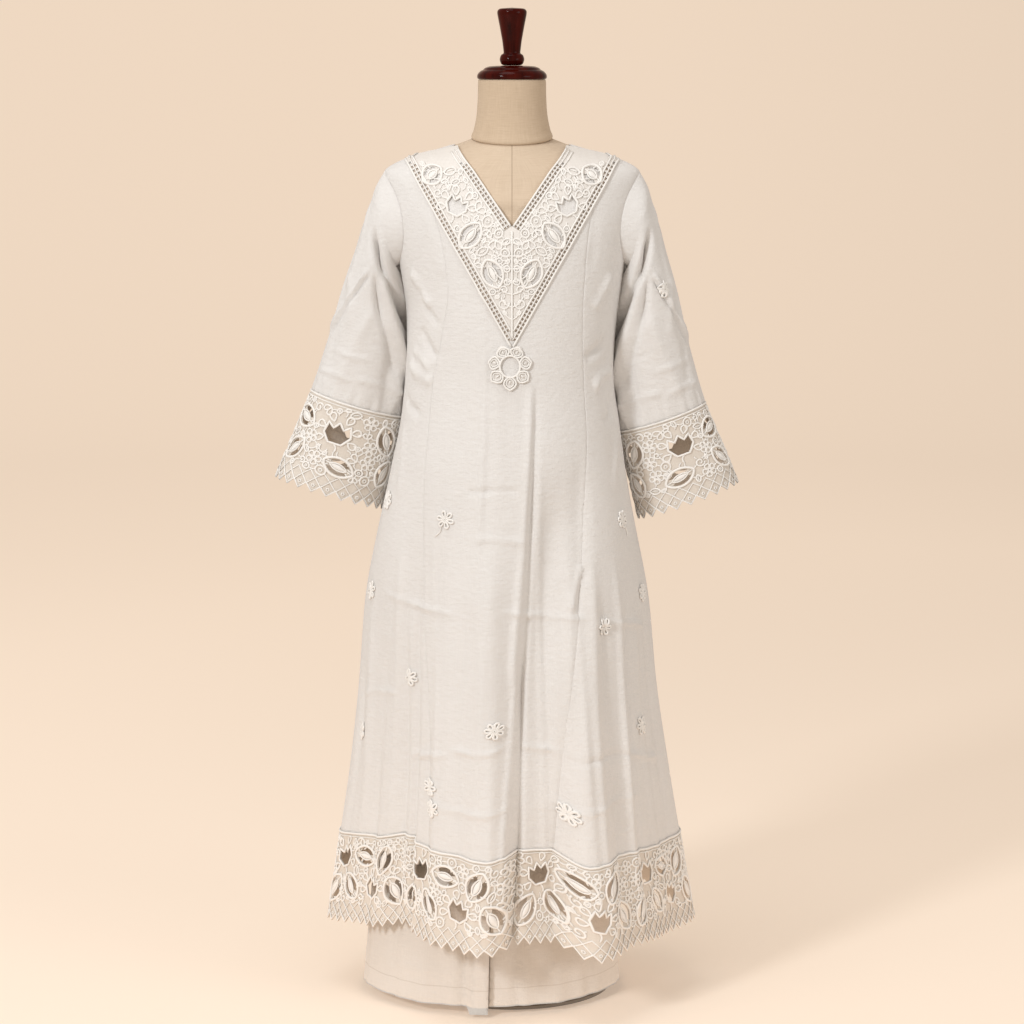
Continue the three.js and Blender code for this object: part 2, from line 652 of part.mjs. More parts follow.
function frontSide(name) {
  const side = name === 'left' ? -1 : 1;
  const rows = seamRows(PANEL_LOW, shoulderEnd.princess);
  const inner = rows.map((row) => [seamEdge(princess(name, row), row, side), row]);
  const topRows = [shoulderEnd.side, shoulderRows[0], SHOULDER_TIP + ARMHOLE_GAP.top];
  const shoulder = topRows.map((row) => [seamEdge(side * 90, row, -side), row]);
  const hole = armholeEdge(side, 0, 180);
  const sideRows = seamRows(PANEL_LOW, UNDERARM - ARMHOLE_GAP.low).reverse();
  const seam = sideRows.map((row) => [seamEdge(side * 90, row, -side), row]);
  return clothWall(kurta, [...inner, ...shoulder, ...hole, ...seam], [], -CLOTH / 2, CLOTH / 2);
}

function back() {
  const wrap = ([angle, height]) => [angle < 0 ? angle + 360 : angle, height];
  const hole = (side) => armholeEdge(side, 180, 360).map(wrap);
  const seam = (angle, side, rows) => rows.map((row) => [seamEdge(angle, row, side), row]);
  const sideRows = seamRows(PANEL_LOW, UNDERARM - ARMHOLE_GAP.low);
  const topRows = [SHOULDER_TIP + ARMHOLE_GAP.top, ...shoulderRows, NECK_EDGE];
  const neck = backNeck.map(({ angle, height }) => [angle, height]);
  const outline = [
    ...seam(90, 1, sideRows), ...hole(1), ...seam(90, 1, topRows), ...neck,
    ...seam(270, -1, topRows.slice().reverse()), ...hole(-1).reverse(),
    ...seam(270, -1, sideRows.slice().reverse()),
  ];
  return clothWall(kurta, outline, [], -CLOTH / 2, CLOTH / 2);
}

function hemLace(from) {
  const to = from + 180;
  const edge = (height) => [seamEdge(from, height, 1), seamEdge(to, height, -1)];
  const [low, high] = edge(HEM);
  const teeth = toothedEdge(low, high, (HEM_TEETH * HEM_REPEATS) / 2, HEM, TOOTH_DEPTH);
  const [topLow, topHigh] = edge(HEM + LACE_HEIGHT - SEAM / 2);
  const top = [[topHigh, HEM + LACE_HEIGHT - SEAM / 2], [topLow, HEM + LACE_HEIGHT - SEAM / 2]];
  const repeat = 360 / HEM_REPEATS;
  const holes = [];
  for (let start = from; start < to - 1; start += repeat) {
    for (const gap of hemRepeat) {
      const u = start + repeat * gap.along;
      const place = ([x, y]) => [u + x / HEM_MM_PER_DEGREE, HEM + gap.up + y];
      holes.push(...gapShapes(gap).map((shape) => shape.map(place)));
    }
  }
  return clothWall(kurta, [...teeth, ...top], holes, -LACE / 2, LACE / 2);
}

// What is laid on the front: its inner face is a seam's gap above the panels' outer face
const LAID_IN = CLOTH / 2 + SEAM;
const laidOn = (outline, holes) => clothWall(kurta, outline, holes, LAID_IN, LAID_IN + LACE);

function yoke() {
  const toAngle = (side) => ({ across, height }) => [angleOf(side * across, height), height];
  const shoulderEdge = (side, height) => [seamEdge(side * 90, height, -side), height];
  const outer = (side) => yokeOuter.map(toAngle(side));
  const neck = (side) => vNeck.map(toAngle(side));
  const topRows = [YOKE_SHOULDER, shoulderRows[1], NECK_EDGE];
  const shoulder = (side) => topRows.map((row) => shoulderEdge(side, row));
  const right = [...outer(1), ...shoulder(1), ...neck(1).reverse()];
  const left = [...neck(-1).slice(1), ...shoulder(-1).reverse(), ...outer(-1).reverse()];
  const holes = [];
  for (const side of [-1, 1]) {
    for (const gap of yokeGaps) {
      const shapes = gapShapes({ ...gap, turn: side * gap.turn });
      const place = ([x, y]) => [angleOf(side * gap.across + x, gap.height + y), gap.height + y];
      holes.push(...shapes.map((shape) => shape.map(place)));
    }
  }
  return laidOn([...right, ...left], holes);
}

function yokeFlower() {
  const { x, z, petals, radius, waist, holeWidth, holeHeight } = flower;
  const place = (across, up) => [angleOf(x + across, z + up), z + up];
  const shoulder = mix(waist, radius, flower.bulge);
  const outline = range(0, 360 - 90 / petals, 90 / petals).map((turn, i) => {
    const reach = [waist, shoulder, radius, shoulder][i % 4];
    return place(reach * sin(turn), reach * cos(turn));
  });
  const hole = range(0, 330, 30).map((turn) => place(holeWidth * sin(turn), holeHeight * cos(turn)));
  return laidOn(outline, [hole]);
}

// Sleeves. Turn 0 is the outer side, 90 the front, 180 the inner side.
const RING_COLUMNS = ['outerX', 'outerZ', 'innerX', 'innerZ', 'depth', 'behind'];
const sleeveTurns = range(-180, 360, 18);
const sleeveRows = [0, CUFF_HEIGHT, 215, 300, 380, 445, SLEEVE_TOP];
const SLIT = 0.1;

function sleeveSurface(name) {
  const side = name === 'left' ? -1 : 1;
  const rings = sleeveRings[name];
  const topRing = rings[rings.length - 1].up;
  const ringPoint = (turn, up) => {
    const [outerX, outerZ, innerX, innerZ, depth, behind] = RING_COLUMNS
      .map((column) => curveAt(rings, 'up', column, up));
    const share = (1 + cos(turn)) / 2;
    const x = side * mix(innerX, outerX, share);
    return new THREE.Vector3(x, behind - depth * sin(turn), mix(innerZ, outerZ, share));
  };
  const pointAt = (turn, up) => {
    if (up <= topRing) return ringPoint(turn, up);
    const [angle, height] = armhole(side, turn, 0);
    const wrapped = angle < -90 ? angle + 360 : angle;
    const share = (up - topRing) / (SLEEVE_TOP - topRing);
    return ringPoint(turn, topRing).lerp(kurta.at(wrapped, height, 0), share);
  };
  return new GridSurface(sleeveTurns, sleeveRows, pointAt, -side);
}

function sleeve(surface) {
  const low = CUFF_HEIGHT + SEAM / 2;
  const [from, to] = [-180 + SLIT, 180 - SLIT];
  const outline = [[from, low], [to, low], [to, SLEEVE_TOP], [from, SLEEVE_TOP]];
  return clothWall(surface, outline, [], -CLOTH / 2, CLOTH / 2);
}

function cuff(surface, from) {
  const high = CUFF_HEIGHT - SEAM / 2;
  const teeth = toothedEdge(from + SLIT, from + 180 - SLIT, CUFF_TEETH, 0, TOOTH_DEPTH);
  const holes = cuffRepeat.flatMap((gap) => {
    const place = ([x, y]) => [from + 180 * gap.along + x / CUFF_MM_PER_DEGREE, gap.up + y];
    return gapShapes(gap).map((shape) => shape.map(place));
  });
  const outline = [...teeth, [from + 180 - SLIT, high], [from + SLIT, high]];
  return clothWall(surface, outline, holes, -LACE / 2, LACE / 2);
}

// The dress form: it fills the kurta's shoulders and is slimmer below them
const insetZone = { start: 0.8, top: SHOULDER_TIP + 14, depth: 30 };
const torsoColumns = range(-90, 270, 18);
const torsoRows = [
  ...torsoSections.map((row) => row.height), 1217, SHOULDER_TIP, ...shoulderRows, NECK_POINT, NECK_SEAM,
];
function torsoPoint(angle, height) {
  if (height > NECK_SEAM - 1) return kurta.at(angle, height, 0);
  if (height > RESTS_FROM) {
    const across = smooth(clamp((Math.abs(sin(angle)) - insetZone.start) / (1 - insetZone.start)));
    const inset = ARMHOLE_INSET * across * clamp((insetZone.top - height) / insetZone.depth);
    return kurta.at(angle, height, -CLOTH / 2 - SEAM - inset);
  }
  const [side, front, backDepth] = sectionAt(torsoSections, height, ['side', 'front', 'back']);
  return ovalPoint(angle, side, side, front, backDepth, TORSO_POWER, height);
}
const torsoSurface = new GridSurface(torsoColumns, torsoRows, torsoPoint, 1);

function torso() {
  const ring = (row) => torsoColumns.slice(0, -1).map((angle) => torsoPoint(angle, row));
  return ringSolid(torsoRows.map(ring));
}

function neck() {
  const rings = [
    { height: NECK_SEAM + SEAM, radius: 60, tilt: 1 },
    { height: 1300, radius: 56.5, tilt: 0.75 },
    { height: 1322, radius: 52.5, tilt: 0.3 },
    { height: 1350, radius: 50.5, tilt: 0 },
    { height: NECK_TOP, radius: 50, tilt: 0 },
  ];
  return ringSolid(rings.map(({ height, radius, tilt }) => torsoColumns.slice(0, -1).map((angle) => {
    const z = height - NECK_TILT * tilt * cos(angle);
    return ovalPoint(angle, radius, radius, radius, radius, 2, z);
  })));
}

function lathe(profile) {
  const points = profile.map(([radius, height]) => new THREE.Vector2(radius, height));
  const geometry = new THREE.LatheGeometry(points, 20);
  geometry.rotateX(Math.PI / 2);
  return geometry;
}

function neckCap() {
  const low = NECK_TOP + SEAM;
  return lathe([
    [0, low], [50.5, low], [52, low + 3], [51, low + 7], [46, low + 11], [40, CAP_TOP - 2], [30, CAP_TOP],
    [0, CAP_TOP],
  ]);
}

function finial() {
  const low = CAP_TOP + SEAM;
  return lathe([
    [0, low], [15, low], [18, low + 4], [17, low + 8], [12.3, low + 12], [15, low + 34],
    [19.5, low + 56], [23.5, low + 73], [20, low + 81], [11, FINIAL_TOP - 1], [0, FINIAL_TOP],
  ]);
}

function standPole() {
  const low = BASE_HEIGHT + SEAM;
  return lathe([[0, low], [POLE_RADIUS, low], [POLE_RADIUS, TORSO_BOTTOM - SEAM], [0, TORSO_BOTTOM - SEAM]]);
}

function standBase() {
  return lathe([
    [0, 0], [BASE_RADIUS, 0], [BASE_RADIUS, BASE_HEIGHT - 3], [BASE_RADIUS - 4, BASE_HEIGHT], [0, BASE_HEIGHT],
  ]);
}

// Trousers. On each leg, turn 0 is the front by the other leg, 90 the outer side, 180 the back by the
// other leg, and from there on the flat inner side.
const legTurns = [-90, 0, strip.to, strip.foot, ...range(18, 180, 18), 270];
const legRows = [STRIP_END, TROUSER_HEM, 110, 240, 420, CROTCH, 760, 850, WAIST - SEAM];

function legSurface(name) {
  const side = name === 'left' ? -1 : 1;
  const pointAt = (turn, height) => {
    const last = trouserSections[trouserSections.length - 1].height;
    if (height > last) {
      const angle = side < 0 && turn > 90 ? 360 - turn : side * turn;
      const high = torsoSurface.at(angle, WAIST, CLOTH / 2 + SEAM);
      high.x += (side * SEAM) / 2;
      high.z = WAIST - SEAM;
      return legPoint(turn, last).lerp(high, (height - last) / (WAIST - SEAM - last));
    }
    if (height > CROTCH + 1) return legPoint(turn, height);
    const point = legPoint(Math.min(180, Math.max(0, turn)), height);
    if (turn < 0) point.y *= 1 + turn / 90;
    if (turn > 180) point.y *= 1 - (turn - 180) / 90;
    return point;
  };
  const legPoint = (turn, height) => {
    const columns = ['division', name, 'front', 'back'];
    const [division, outer, front, backDepth] = sectionAt(trouserSections, height, columns);
    const gap = height < CROTCH + 1 ? LEG_FLAT_GAP : SEAM / 2;
    const width = Math.abs(outer - division);
    const point = ovalPoint(turn, width, width, front, backDepth, 2, height);
    const inStrip = name === 'left' ? smooth(clamp((strip.foot - turn) / (strip.foot - strip.to))) : 0;
    point.y -= inStrip * strip.reach * clamp((strip.start - height) / strip.growth);
    point.x = division + side * (point.x + gap);
    return point;
  };
  return new GridSurface(legTurns, legRows, pointAt, -side);
}

function trouserLeg(name) {
  const surface = legSurface(name);
  const top = WAIST - SEAM;
  const fork = CROTCH - SEAM;
  const hem = name === 'left'
    ? [[-1, TROUSER_HEM], [0, STRIP_END], [strip.to, STRIP_END], [strip.foot, TROUSER_HEM]]
    : [];
  const outline = [
    [-90 + SLIT, TROUSER_HEM], ...hem, [270 - SLIT, TROUSER_HEM], [270 - SLIT, fork],
    [180, fork], [180, top], [0, top], [0, fork], [-90 + SLIT, fork],
  ];
  return clothWall(surface, outline, [], -CLOTH / 2, CLOTH / 2);
}

function waistband() {
  const top = WAIST + WAISTBAND_HEIGHT;
  const outline = [[-90 + SLIT, WAIST], [270 - SLIT, WAIST], [270 - SLIT, top], [-90 + SLIT, top]];
  return clothWall(torsoSurface, outline, [], SEAM, SEAM + CLOTH);
}

// Materials
const cotton = { color: 0xf0ebe6, roughness: 0.9, metalness: 0 };
const cutwork = { color: 0xe9e0d6, roughness: 0.9, metalness: 0 };
const linen = { color: 0xd2bea5, roughness: 0.95, metalness: 0 };
const mahogany = { color: 0x3c0c0a, roughness: 0.2, metalness: 0 };
const steel = { color: 0x6d6d70, roughness: 0.4, metalness: 0.9 };

const suit = new THREE.Group();
function add(name, geometry, finish) {
  const mesh = new THREE.Mesh(geometry, new THREE.MeshStandardMaterial(finish));
  mesh.name = name;
  suit.add(mesh);
}

add('kurta_front_centre', frontCentre(), cotton);
add('kurta_front_left', frontSide('left'), cotton);
add('kurta_front_right', frontSide('right'), cotton);
add('kurta_back', back(), cotton);
add('hem_lace_front', hemLace(-90), cutwork);
add('hem_lace_back', hemLace(90), cutwork);
add('yoke', yoke(), cutwork);
add('yoke_flower', yokeFlower(), cutwork);
for (const name of ['left', 'right']) {
  const surface = sleeveSurface(name);
  add(`sleeve_${name}`, sleeve(surface), cotton);
  add(`cuff_${name}_front`, cuff(surface, 0), cutwork);
  add(`cuff_${name}_back`, cuff(surface, 180), cutwork);
  add(`trouser_leg_${name}`, trouserLeg(name), cotton);
}
add('trouser_waistband', waistband(), cotton);
add('form_torso', torso(), linen);
add('form_neck', neck(), linen);
add('neck_cap', neckCap(), mahogany);
add('finial', finial(), mahogany);
add('stand_pole', standPole(), steel);
add('stand_base', standBase(), steel);

export default suit;
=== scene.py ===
# %% [markdown]
# # A white salwar suit on its dress form
# The suit is a long A-line kurta with cutwork lace over wide, palazzo-like trousers, worn by a
# dress form without limbs. Cloth is a thin wall with folds, so each sewn piece is a surface of
# two parameters, trimmed to the shape that a maker would cut, and given its thickness last.
# Everything below works in millimetres and is put into Blender in metres, where the packed
# solids are.

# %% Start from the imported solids
import math
import bpy
import numpy as np
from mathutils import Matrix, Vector
from mathutils.geometry import delaunay_2d_cdt


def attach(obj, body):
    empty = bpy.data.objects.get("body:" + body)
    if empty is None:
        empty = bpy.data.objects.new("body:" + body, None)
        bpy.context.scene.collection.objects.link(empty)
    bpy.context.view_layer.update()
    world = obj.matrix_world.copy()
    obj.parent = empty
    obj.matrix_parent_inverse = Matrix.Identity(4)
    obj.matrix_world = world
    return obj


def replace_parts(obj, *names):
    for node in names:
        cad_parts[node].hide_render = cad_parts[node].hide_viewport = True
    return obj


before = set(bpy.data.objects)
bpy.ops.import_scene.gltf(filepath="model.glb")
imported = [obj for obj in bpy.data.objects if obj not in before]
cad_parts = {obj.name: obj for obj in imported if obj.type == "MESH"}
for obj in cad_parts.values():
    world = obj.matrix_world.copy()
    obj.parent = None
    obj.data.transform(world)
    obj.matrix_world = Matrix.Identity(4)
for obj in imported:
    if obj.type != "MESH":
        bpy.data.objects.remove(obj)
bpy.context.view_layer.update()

print("nodes:", len(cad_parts))

# %% [markdown]
# ## Camera
# The photograph looks slightly down on the form from far away with a long lens. The camera
# stands 4.8 m in front and aims at the middle of the dress.

# %% Camera
CAMERA_PLACE, AIM = Vector((0.0, -4.8, 1.417)), Vector((0.0, 0.0, 0.729))
FOCAL_LENGTH, SENSOR_WIDTH = 113.2, 36.0
lens = bpy.data.cameras.new("camera")
lens.lens = FOCAL_LENGTH
lens.sensor_width = SENSOR_WIDTH
lens.dof.use_dof = False
camera = bpy.data.objects.new("camera", lens)
camera.location = CAMERA_PLACE
view = AIM - CAMERA_PLACE
camera.rotation_euler = view.to_track_quat("-Z", "Y").to_euler()
bpy.context.scene.collection.objects.link(camera)
bpy.context.scene.camera = camera
print("camera distance", round(view.length, 3), "m")

# %% [markdown]
# ## Smooth tables
# A dress is described by few sizes: a row for each section or fold. Two helpers read such a
# table at any place, as whole arrays: one runs a curve through the rows, the other goes from
# ridge to trough and is level at each row, as a soft fold is.

# %% Reading tables
def smooth(t):
    """Soft step: 3 t^2 - 2 t^3 between 0 and 1."""
    t = np.clip(t, 0.0, 1.0)
    return t * t * (3.0 - 2.0 * t)


def span_of(key, x):
    """Row below x, and the share of the way to the next row."""
    i = np.clip(np.searchsorted(key, x, side="right") - 1, 0, len(key) - 2)
    return i, np.clip((x - key[i]) / (key[i + 1] - key[i]), 0.0, 1.0)


def curve_at(table, x):
    """Columns at x: low + rise t + t (1 - t) (bend from the slopes of the rows beside)."""
    key, value = table[:, 0], table[:, 1:]
    i, t = span_of(key, np.asarray(x, float))
    rows = np.arange(len(key))
    low, high = np.maximum(rows - 1, 0), np.minimum(rows + 1, len(key) - 1)
    slope = (value[high] - value[low]) / (key[high] - key[low])[:, None]
    span, t = (key[i + 1] - key[i])[..., None], t[..., None]
    rise = value[i + 1] - value[i]
    bend = (slope[i] * span - rise) * (1 - t) - (slope[i + 1] * span - rise) * t
    return np.moveaxis(value[i] + rise * t + bend * t * (1 - t), -1, 0)


def wave_at(table, x):
    """Columns at x: a soft step from row to row, level at each row."""
    key, value = table[:, 0], table[:, 1:]
    i, t = span_of(key, np.asarray(x, float))
    return np.moveaxis(value[i] + (value[i + 1] - value[i]) * smooth(t)[..., None], -1, 0)


def oval(angle, left, right, front, back, power):
    """x = half-width |sin a|^(2/p), y = depth |cos a|^(2/p); 0 is the front, 90 the right."""
    s, c = np.sin(np.radians(angle)), np.cos(np.radians(angle))
    x = np.where(s < 0, -left, right) * np.abs(s) ** (2 / power)
    y = np.where(c < 0, back, -front) * np.abs(c) ** (2 / power)
    return x, y, s, c


# %% [markdown]
# ## The kurta's surface
# One function of an angle round the body and a height gives the whole kurta, folds included, so
# that panels, lace and embroidery all lie on the same cloth. Creases are soft troughs or ridges
# along short lines, each with its own width and depth, so they stay uneven as real ones are.

# %% Sections and folds
HEM, LACE_TOP, UNDERARM, SHOULDER, NECK_SEAM = 105.0, 243.0, 1102.0, 1241.0, 1287.5
FOLDS_START, HEM_RISE_START = 860.0, 640.0  # folds and hem's rise grow downwards from here
NECK_TILT = 8.5  # the neck seam lies this much lower in front, and higher behind
HOLLOW_HEIGHT, HOLLOW_HALF_HEIGHT, HOLLOW_HALF_ANGLE = 765.0, 175.0, 44.0
DIP_DEPTH, DIP_WIDTH, DIP_TOP = 0.16, 2.2, 1225.0  # of the cloth at its seams
KURTA = np.array([  # height, left, right, front, back, power of the oval
    (105, 281, 279, 265, 262, 2), (243, 261, 255, 240, 240, 2), (344, 246, 238, 222, 224, 2),
    (468, 232, 219, 203, 205, 2), (592, 222, 207, 186, 188, 2), (714, 206, 190, 168, 172, 2.05),
    (805, 186, 174, 156, 158, 2.1), (865, 170, 163, 148, 142, 2.1),
    (926, 160, 152, 141, 127, 2.1), (986, 157, 153, 136, 115, 2.1),
    (1045, 158, 159, 132, 107, 2.1), (1102, 168, 168, 127, 104, 2.1),
    (1140, 174, 174, 121, 104, 2.1), (1175, 180, 180, 110, 102, 2.1),
    (1207, 186, 186, 98, 97, 2), (1228, 190, 190, 89, 89, 1.9), (1241, 188, 188, 83, 83, 1.75),
    (1252, 172, 172, 78, 78, 1.65), (1262, 146, 146, 73, 73, 1.6), (1271, 112, 112, 68, 68, 1.6),
    (1280, 81, 81, 64, 64, 1.8), (1287.5, 60, 60, 60, 60, 2)], float)
FOLDS = np.array([  # angle, reach at the hem, the hem's height
    (-90, 0, 103), (-63, -38, 116), (-45, -60, 129), (-41, -61, 128), (-37.5, -40, 123),
    (-22.5, -13, 118), (-8.5, 2, 112), (2, -38, 121), (15, -42, 119), (26, 12, 99),
    (45, -18, 106), (66, -27, 101), (90, 0, 102), (110, -16, 108), (127, 5, 105),
    (146, -34, 116), (163, -2, 106), (181, -32, 115), (199, 2, 105), (217, -36, 116),
    (236, 0, 107), (253, -18, 109), (270, 0, 103)], float)
HOLLOWS = [(-108, -15), (108, -13), (252, -15)]  # angle, reach of the hollows by the sleeves
CREASES = [  # from (angle, height) to (angle, height), width and depth in mm
    (9.6, 960, 0.4, 470, 6, 6.0), (1.8, 560, -4.2, 60, 6, 8.5),
    (13.0, 950, 3.6, 480, 5.5, -6.5), (5.2, 560, -0.6, 60, 5.5, -10.0),
    (34, 860, 15.5, 60, 14, -8.0), (24, 860, 8.5, 60, 36, -16.0), (-6, 720, -9, 60, 17, 5.1),
    (-13.5, 1010, -13.2, 560, 4.5, 2.5), (-12.4, 600, -11.2, 60, 7, 3.4),
    (-17, 640, -17, 60, 9, -2.7), (13.2, 860, 12.3, 100, 5, 2), (22.9, 690, 17, 90, 7, -3.2),
    (-15, 1090, -13, 940, 7, 1.4), (-5, 1000, -6, 760, 8, 1.5), (6, 940, 9, 700, 8, -1.5),
    (-35, 800, -26, 90, 6, 4.1), (-31, 760, -30, 90, 7, -2.7), (-43, 640, -45, 90, 8, 5.1),
    (-48, 560, -49, 90, 6, -3.4), (-54, 740, -53, 90, 9, 3.7), (-60, 560, -64, 90, 10, -4.1),
    (-72, 640, -73, 90, 11, 3.7), (-80, 520, -81, 80, 9, -3.1),
    (35.6, 700, 33, 90, 8, 4.4), (30, 640, 27, 90, 6, 2.7), (42, 640, 38, 90, 8, -3.7),
    (50.7, 690, 48, 90, 8, 6.1), (57, 640, 53, 90, 9, -4.8), (66, 600, 65, 90, 10, 3.4),
    (76, 620, 77, 80, 11, -3.1), (31.8, 676, 26, 600, 4.5, 3), (34.2, 672, 28.6, 590, 4, -3),
    (-22, 782, 4, 780, 3.8, -2.2), (-16, 712, 6, 708, 3.8, 2.2), (-66, 618, -20, 602, 3.8, 2.7),
    (-6, 608, 34, 590, 3.8, 2.8), (35, 589, 76, 564, 3.8, 3.0), (-46, 364, -23, 391, 3.8, 2.7),
    (-23, 392, -2, 404, 3.8, 2.7), (3, 402, 20, 390, 3.8, 3.0), (19, 391, 54, 385, 3.8, -2.4),
    (50, 385, 78, 368, 3.8, 2.7), (-32, 305, 1, 311, 3.8, 2.2), (12, 318, 60, 322, 3.8, 1.8),
    (-80, 458, -52, 470, 3.8, 1.8), (-60, 1010, -42, 972, 7, -5.4), (-72, 965, -46, 930, 8, 4.6),
    (-66, 985, -48, 950, 6, 3.4), (62, 1000, 44, 966, 7, -5), (74, 955, 50, 925, 8, 4.4),
    (-74, 912, -54, 880, 7, -3.8), (72, 905, 56, 872, 7, -3.4), (-64, 1095, -46, 1045, 8, 4.4),
    (-58, 1075, -42, 1015, 6, -3.4), (63, 1090, 46, 1045, 8, 4), (-70, 870, -58, 760, 7, 1.9),
    (70, 870, 58, 770, 7, 1.9), (-40, 1195, -38, 1090, 9, 1.1), (43, 1190, 40, 1095, 8, -1.1),
    (100, 820, 101, 90, 14, 3.7), (121, 700, 119, 90, 12, -3.4),
    (134, 760, 136, 90, 11, 4.4), (152, 640, 154, 90, 13, 3.4), (171, 720, 170, 90, 10, -4.8),
    (190, 700, 190, 90, 12, 4.4), (208, 640, 207, 90, 12, -3.7), (225, 720, 226, 90, 11, 4.4),
    (244, 690, 244, 90, 12, 3.4), (262, 640, 262, 90, 12, -2.7), (112, 772, 176, 766, 3.5, 1.6),
    (184, 770, 240, 776, 3.5, 1.5), (120, 596, 200, 588, 3.5, 1.8), (206, 590, 252, 598, 3.5, 1.4),
    (110, 398, 168, 404, 3.5, 1.8), (176, 400, 246, 392, 3.5, 1.6), (140, 1010, 122, 965, 9, 2.7),
    (220, 1010, 238, 965, 9, 2.7), (150, 930, 128, 905, 9, -2.4), (210, 930, 232, 905, 9, -2.4),
    (168, 1120, 170, 900, 9, 2), (194, 1100, 190, 860, 10, -2.2)]
PRINCESS = np.array([  # height, left seam's angle, right seam's angle
    (243, -31, 17), (400, -33, 21), (560, -36.8, 27.8), (680, -39, 33), (800, -43, 38),
    (926, -46, 43), (1000, -40, 41), (1075, -34, 39), (1175, -37, 39), (1241, -46, 46),
    (1267, -90, 90)], float)


def creased(table, u, v, mm_per_u):
    """Sum of depth exp(-(d / width)^2) over the lines, d their distance, faded at their ends.

    Each line wanders by half its width and its depth varies by 0.3 of it, both by a sine."""
    u, v, mm_per_u = np.broadcast_arrays(u, v, mm_per_u)
    total = np.zeros(u.shape)
    for number, (u0, v0, u1, v1, width, depth) in enumerate(table):
        reach = 3.2 * width
        near = (v > min(v0, v1) - reach) & (v < max(v0, v1) + reach)
        near &= (u > min(u0, u1) - reach) & (u < max(u0, u1) + reach)
        dx, dy = (u[near] - u0) * mm_per_u[near], v[near] - v0
        ex, ey = (u1 - u0) * mm_per_u[near], v1 - v0
        long = np.hypot(ex, ey) + 1e-9
        t = (dx * ex + dy * ey) / long ** 2
        wander = 0.5 * width * np.sin(5.0 * t + 1.7 * number)
        d = (dx * ey - dy * ex) / long + wander
        fade = smooth(t / 0.18) * smooth((1 - t) / 0.14)
        uneven = 1.0 + 0.3 * np.sin(9.0 * t + 2.3 * number)
        total[near] += depth * uneven * fade * np.exp(-((d / width) ** 2))
    return total


def kurta_mm_per_degree(height):
    """Mean half-width of the section, times a degree."""
    left, right, front, back, _ = curve_at(KURTA, height)
    return (left + right + front + back) / 4 * math.radians(1)


def seam_dip(angle, height):
    """The cloth turns in by depth exp(-(d / width)^2) at its princess and side seams."""
    left, right = curve_at(PRINCESS, height)
    mm = kurta_mm_per_degree(height)
    princess = np.minimum(np.abs(angle - left), np.abs(angle - right))
    side = np.minimum(np.abs(np.abs(angle) - 90), np.abs(angle - 270))
    dip = np.exp(-((princess * mm / DIP_WIDTH) ** 2)) * smooth((DIP_TOP - height) / 20)
    return -DIP_DEPTH * (dip + np.exp(-((side * mm / DIP_WIDTH) ** 2)))


def kurta(angle, height):
    """Oval of the section, pushed out by reach (sin a, -cos a): folds grow towards the hem."""
    angle, height = np.broadcast_arrays(np.asarray(angle, float), np.asarray(height, float))
    x, y, s, c = oval(angle, *curve_at(KURTA, height))
    reach, hem = wave_at(FOLDS, angle)
    level = smooth((HEM_RISE_START - height) / (HEM_RISE_START - LACE_TOP))
    neck = np.clip((height - SHOULDER) / (NECK_SEAM - SHOULDER), 0, 1)
    reach = reach * np.clip((FOLDS_START - height) / (FOLDS_START - HEM), 0, 1) ** 1.3
    for middle, depth in HOLLOWS:
        across = smooth(1 - np.abs(angle - middle) / HOLLOW_HALF_ANGLE)
        reach = reach + depth * across * smooth(1 - np.abs(height - HOLLOW_HEIGHT) / HOLLOW_HALF_HEIGHT)
    reach = reach + creased(CREASES, angle, height, kurta_mm_per_degree(height))
    reach = reach + seam_dip(angle, height)
    z = height + (hem - HEM) * level - NECK_TILT * c * neck
    return np.stack([x + reach * s, y - reach * c, z], -1)


def angle_at(x, height):
    """Angle of a point x in the front view: asin((|x| / half-width)^(p/2))."""
    left, right, _, _, power = curve_at(KURTA, height)
    share = np.minimum(1, np.abs(x) / np.where(x < 0, left, right)) ** (power / 2)
    return np.degrees(np.sign(x) * np.arcsin(share))


print("kurta at the waist, front:", kurta(0, 926).round(1))

# %% [markdown]
# ## From a surface to a mesh
# A sewn piece is cut from flat cloth. The flat shape is filled with points, joined into
# triangles that respect its edges and its holes, and every point is then carried onto the
# curved surface. Whole arrays go through each step, which keeps this fast.

# %% Mesh helpers
def put_mesh(name, points, faces, material, uv=None):
    """Makes an object from millimetre points and triangles, smooth shaded."""
    mesh = bpy.data.meshes.new(name)
    mesh.vertices.add(len(points))
    mesh.vertices.foreach_set("co", (np.asarray(points, np.float32) / 1000).ravel())
    mesh.loops.add(faces.size)
    mesh.loops.foreach_set("vertex_index", faces.ravel().astype(np.int32))
    mesh.polygons.add(len(faces))
    mesh.polygons.foreach_set("loop_start", np.arange(0, faces.size, 3, dtype=np.int32))
    mesh.polygons.foreach_set("use_smooth", np.ones(len(faces), bool))
    if uv is not None:
        layer = mesh.uv_layers.new(name="Flat")
        layer.data.foreach_set("uv", (uv[faces.ravel()] / 1000).astype(np.float32).ravel())
    mesh.update(calc_edges=True)
    mesh.materials.append(material)
    piece = bpy.data.objects.new(name, mesh)
    bpy.context.scene.collection.objects.link(piece)
    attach(piece, "root")
    return piece


def refine(loop, step):
    """Adds points to a closed loop, so that no edge is longer than step."""
    loop = np.asarray(loop, float)
    onward = np.roll(loop, -1, axis=0) - loop
    count = np.maximum(1, np.ceil(np.hypot(*onward.T) / step)).astype(int)
    edge = np.repeat(np.arange(len(loop)), count)
    share = (np.arange(count.sum()) - np.repeat(np.cumsum(count) - count, count)) / count[edge]
    return loop[edge] + onward[edge] * share[:, None]


def counter_clockwise(loop):
    """The loop, turned round where its area comes out negative."""
    x, y = loop.T
    return loop if (x * np.roll(y, -1) - y * np.roll(x, -1)).sum() > 0 else loop[::-1]


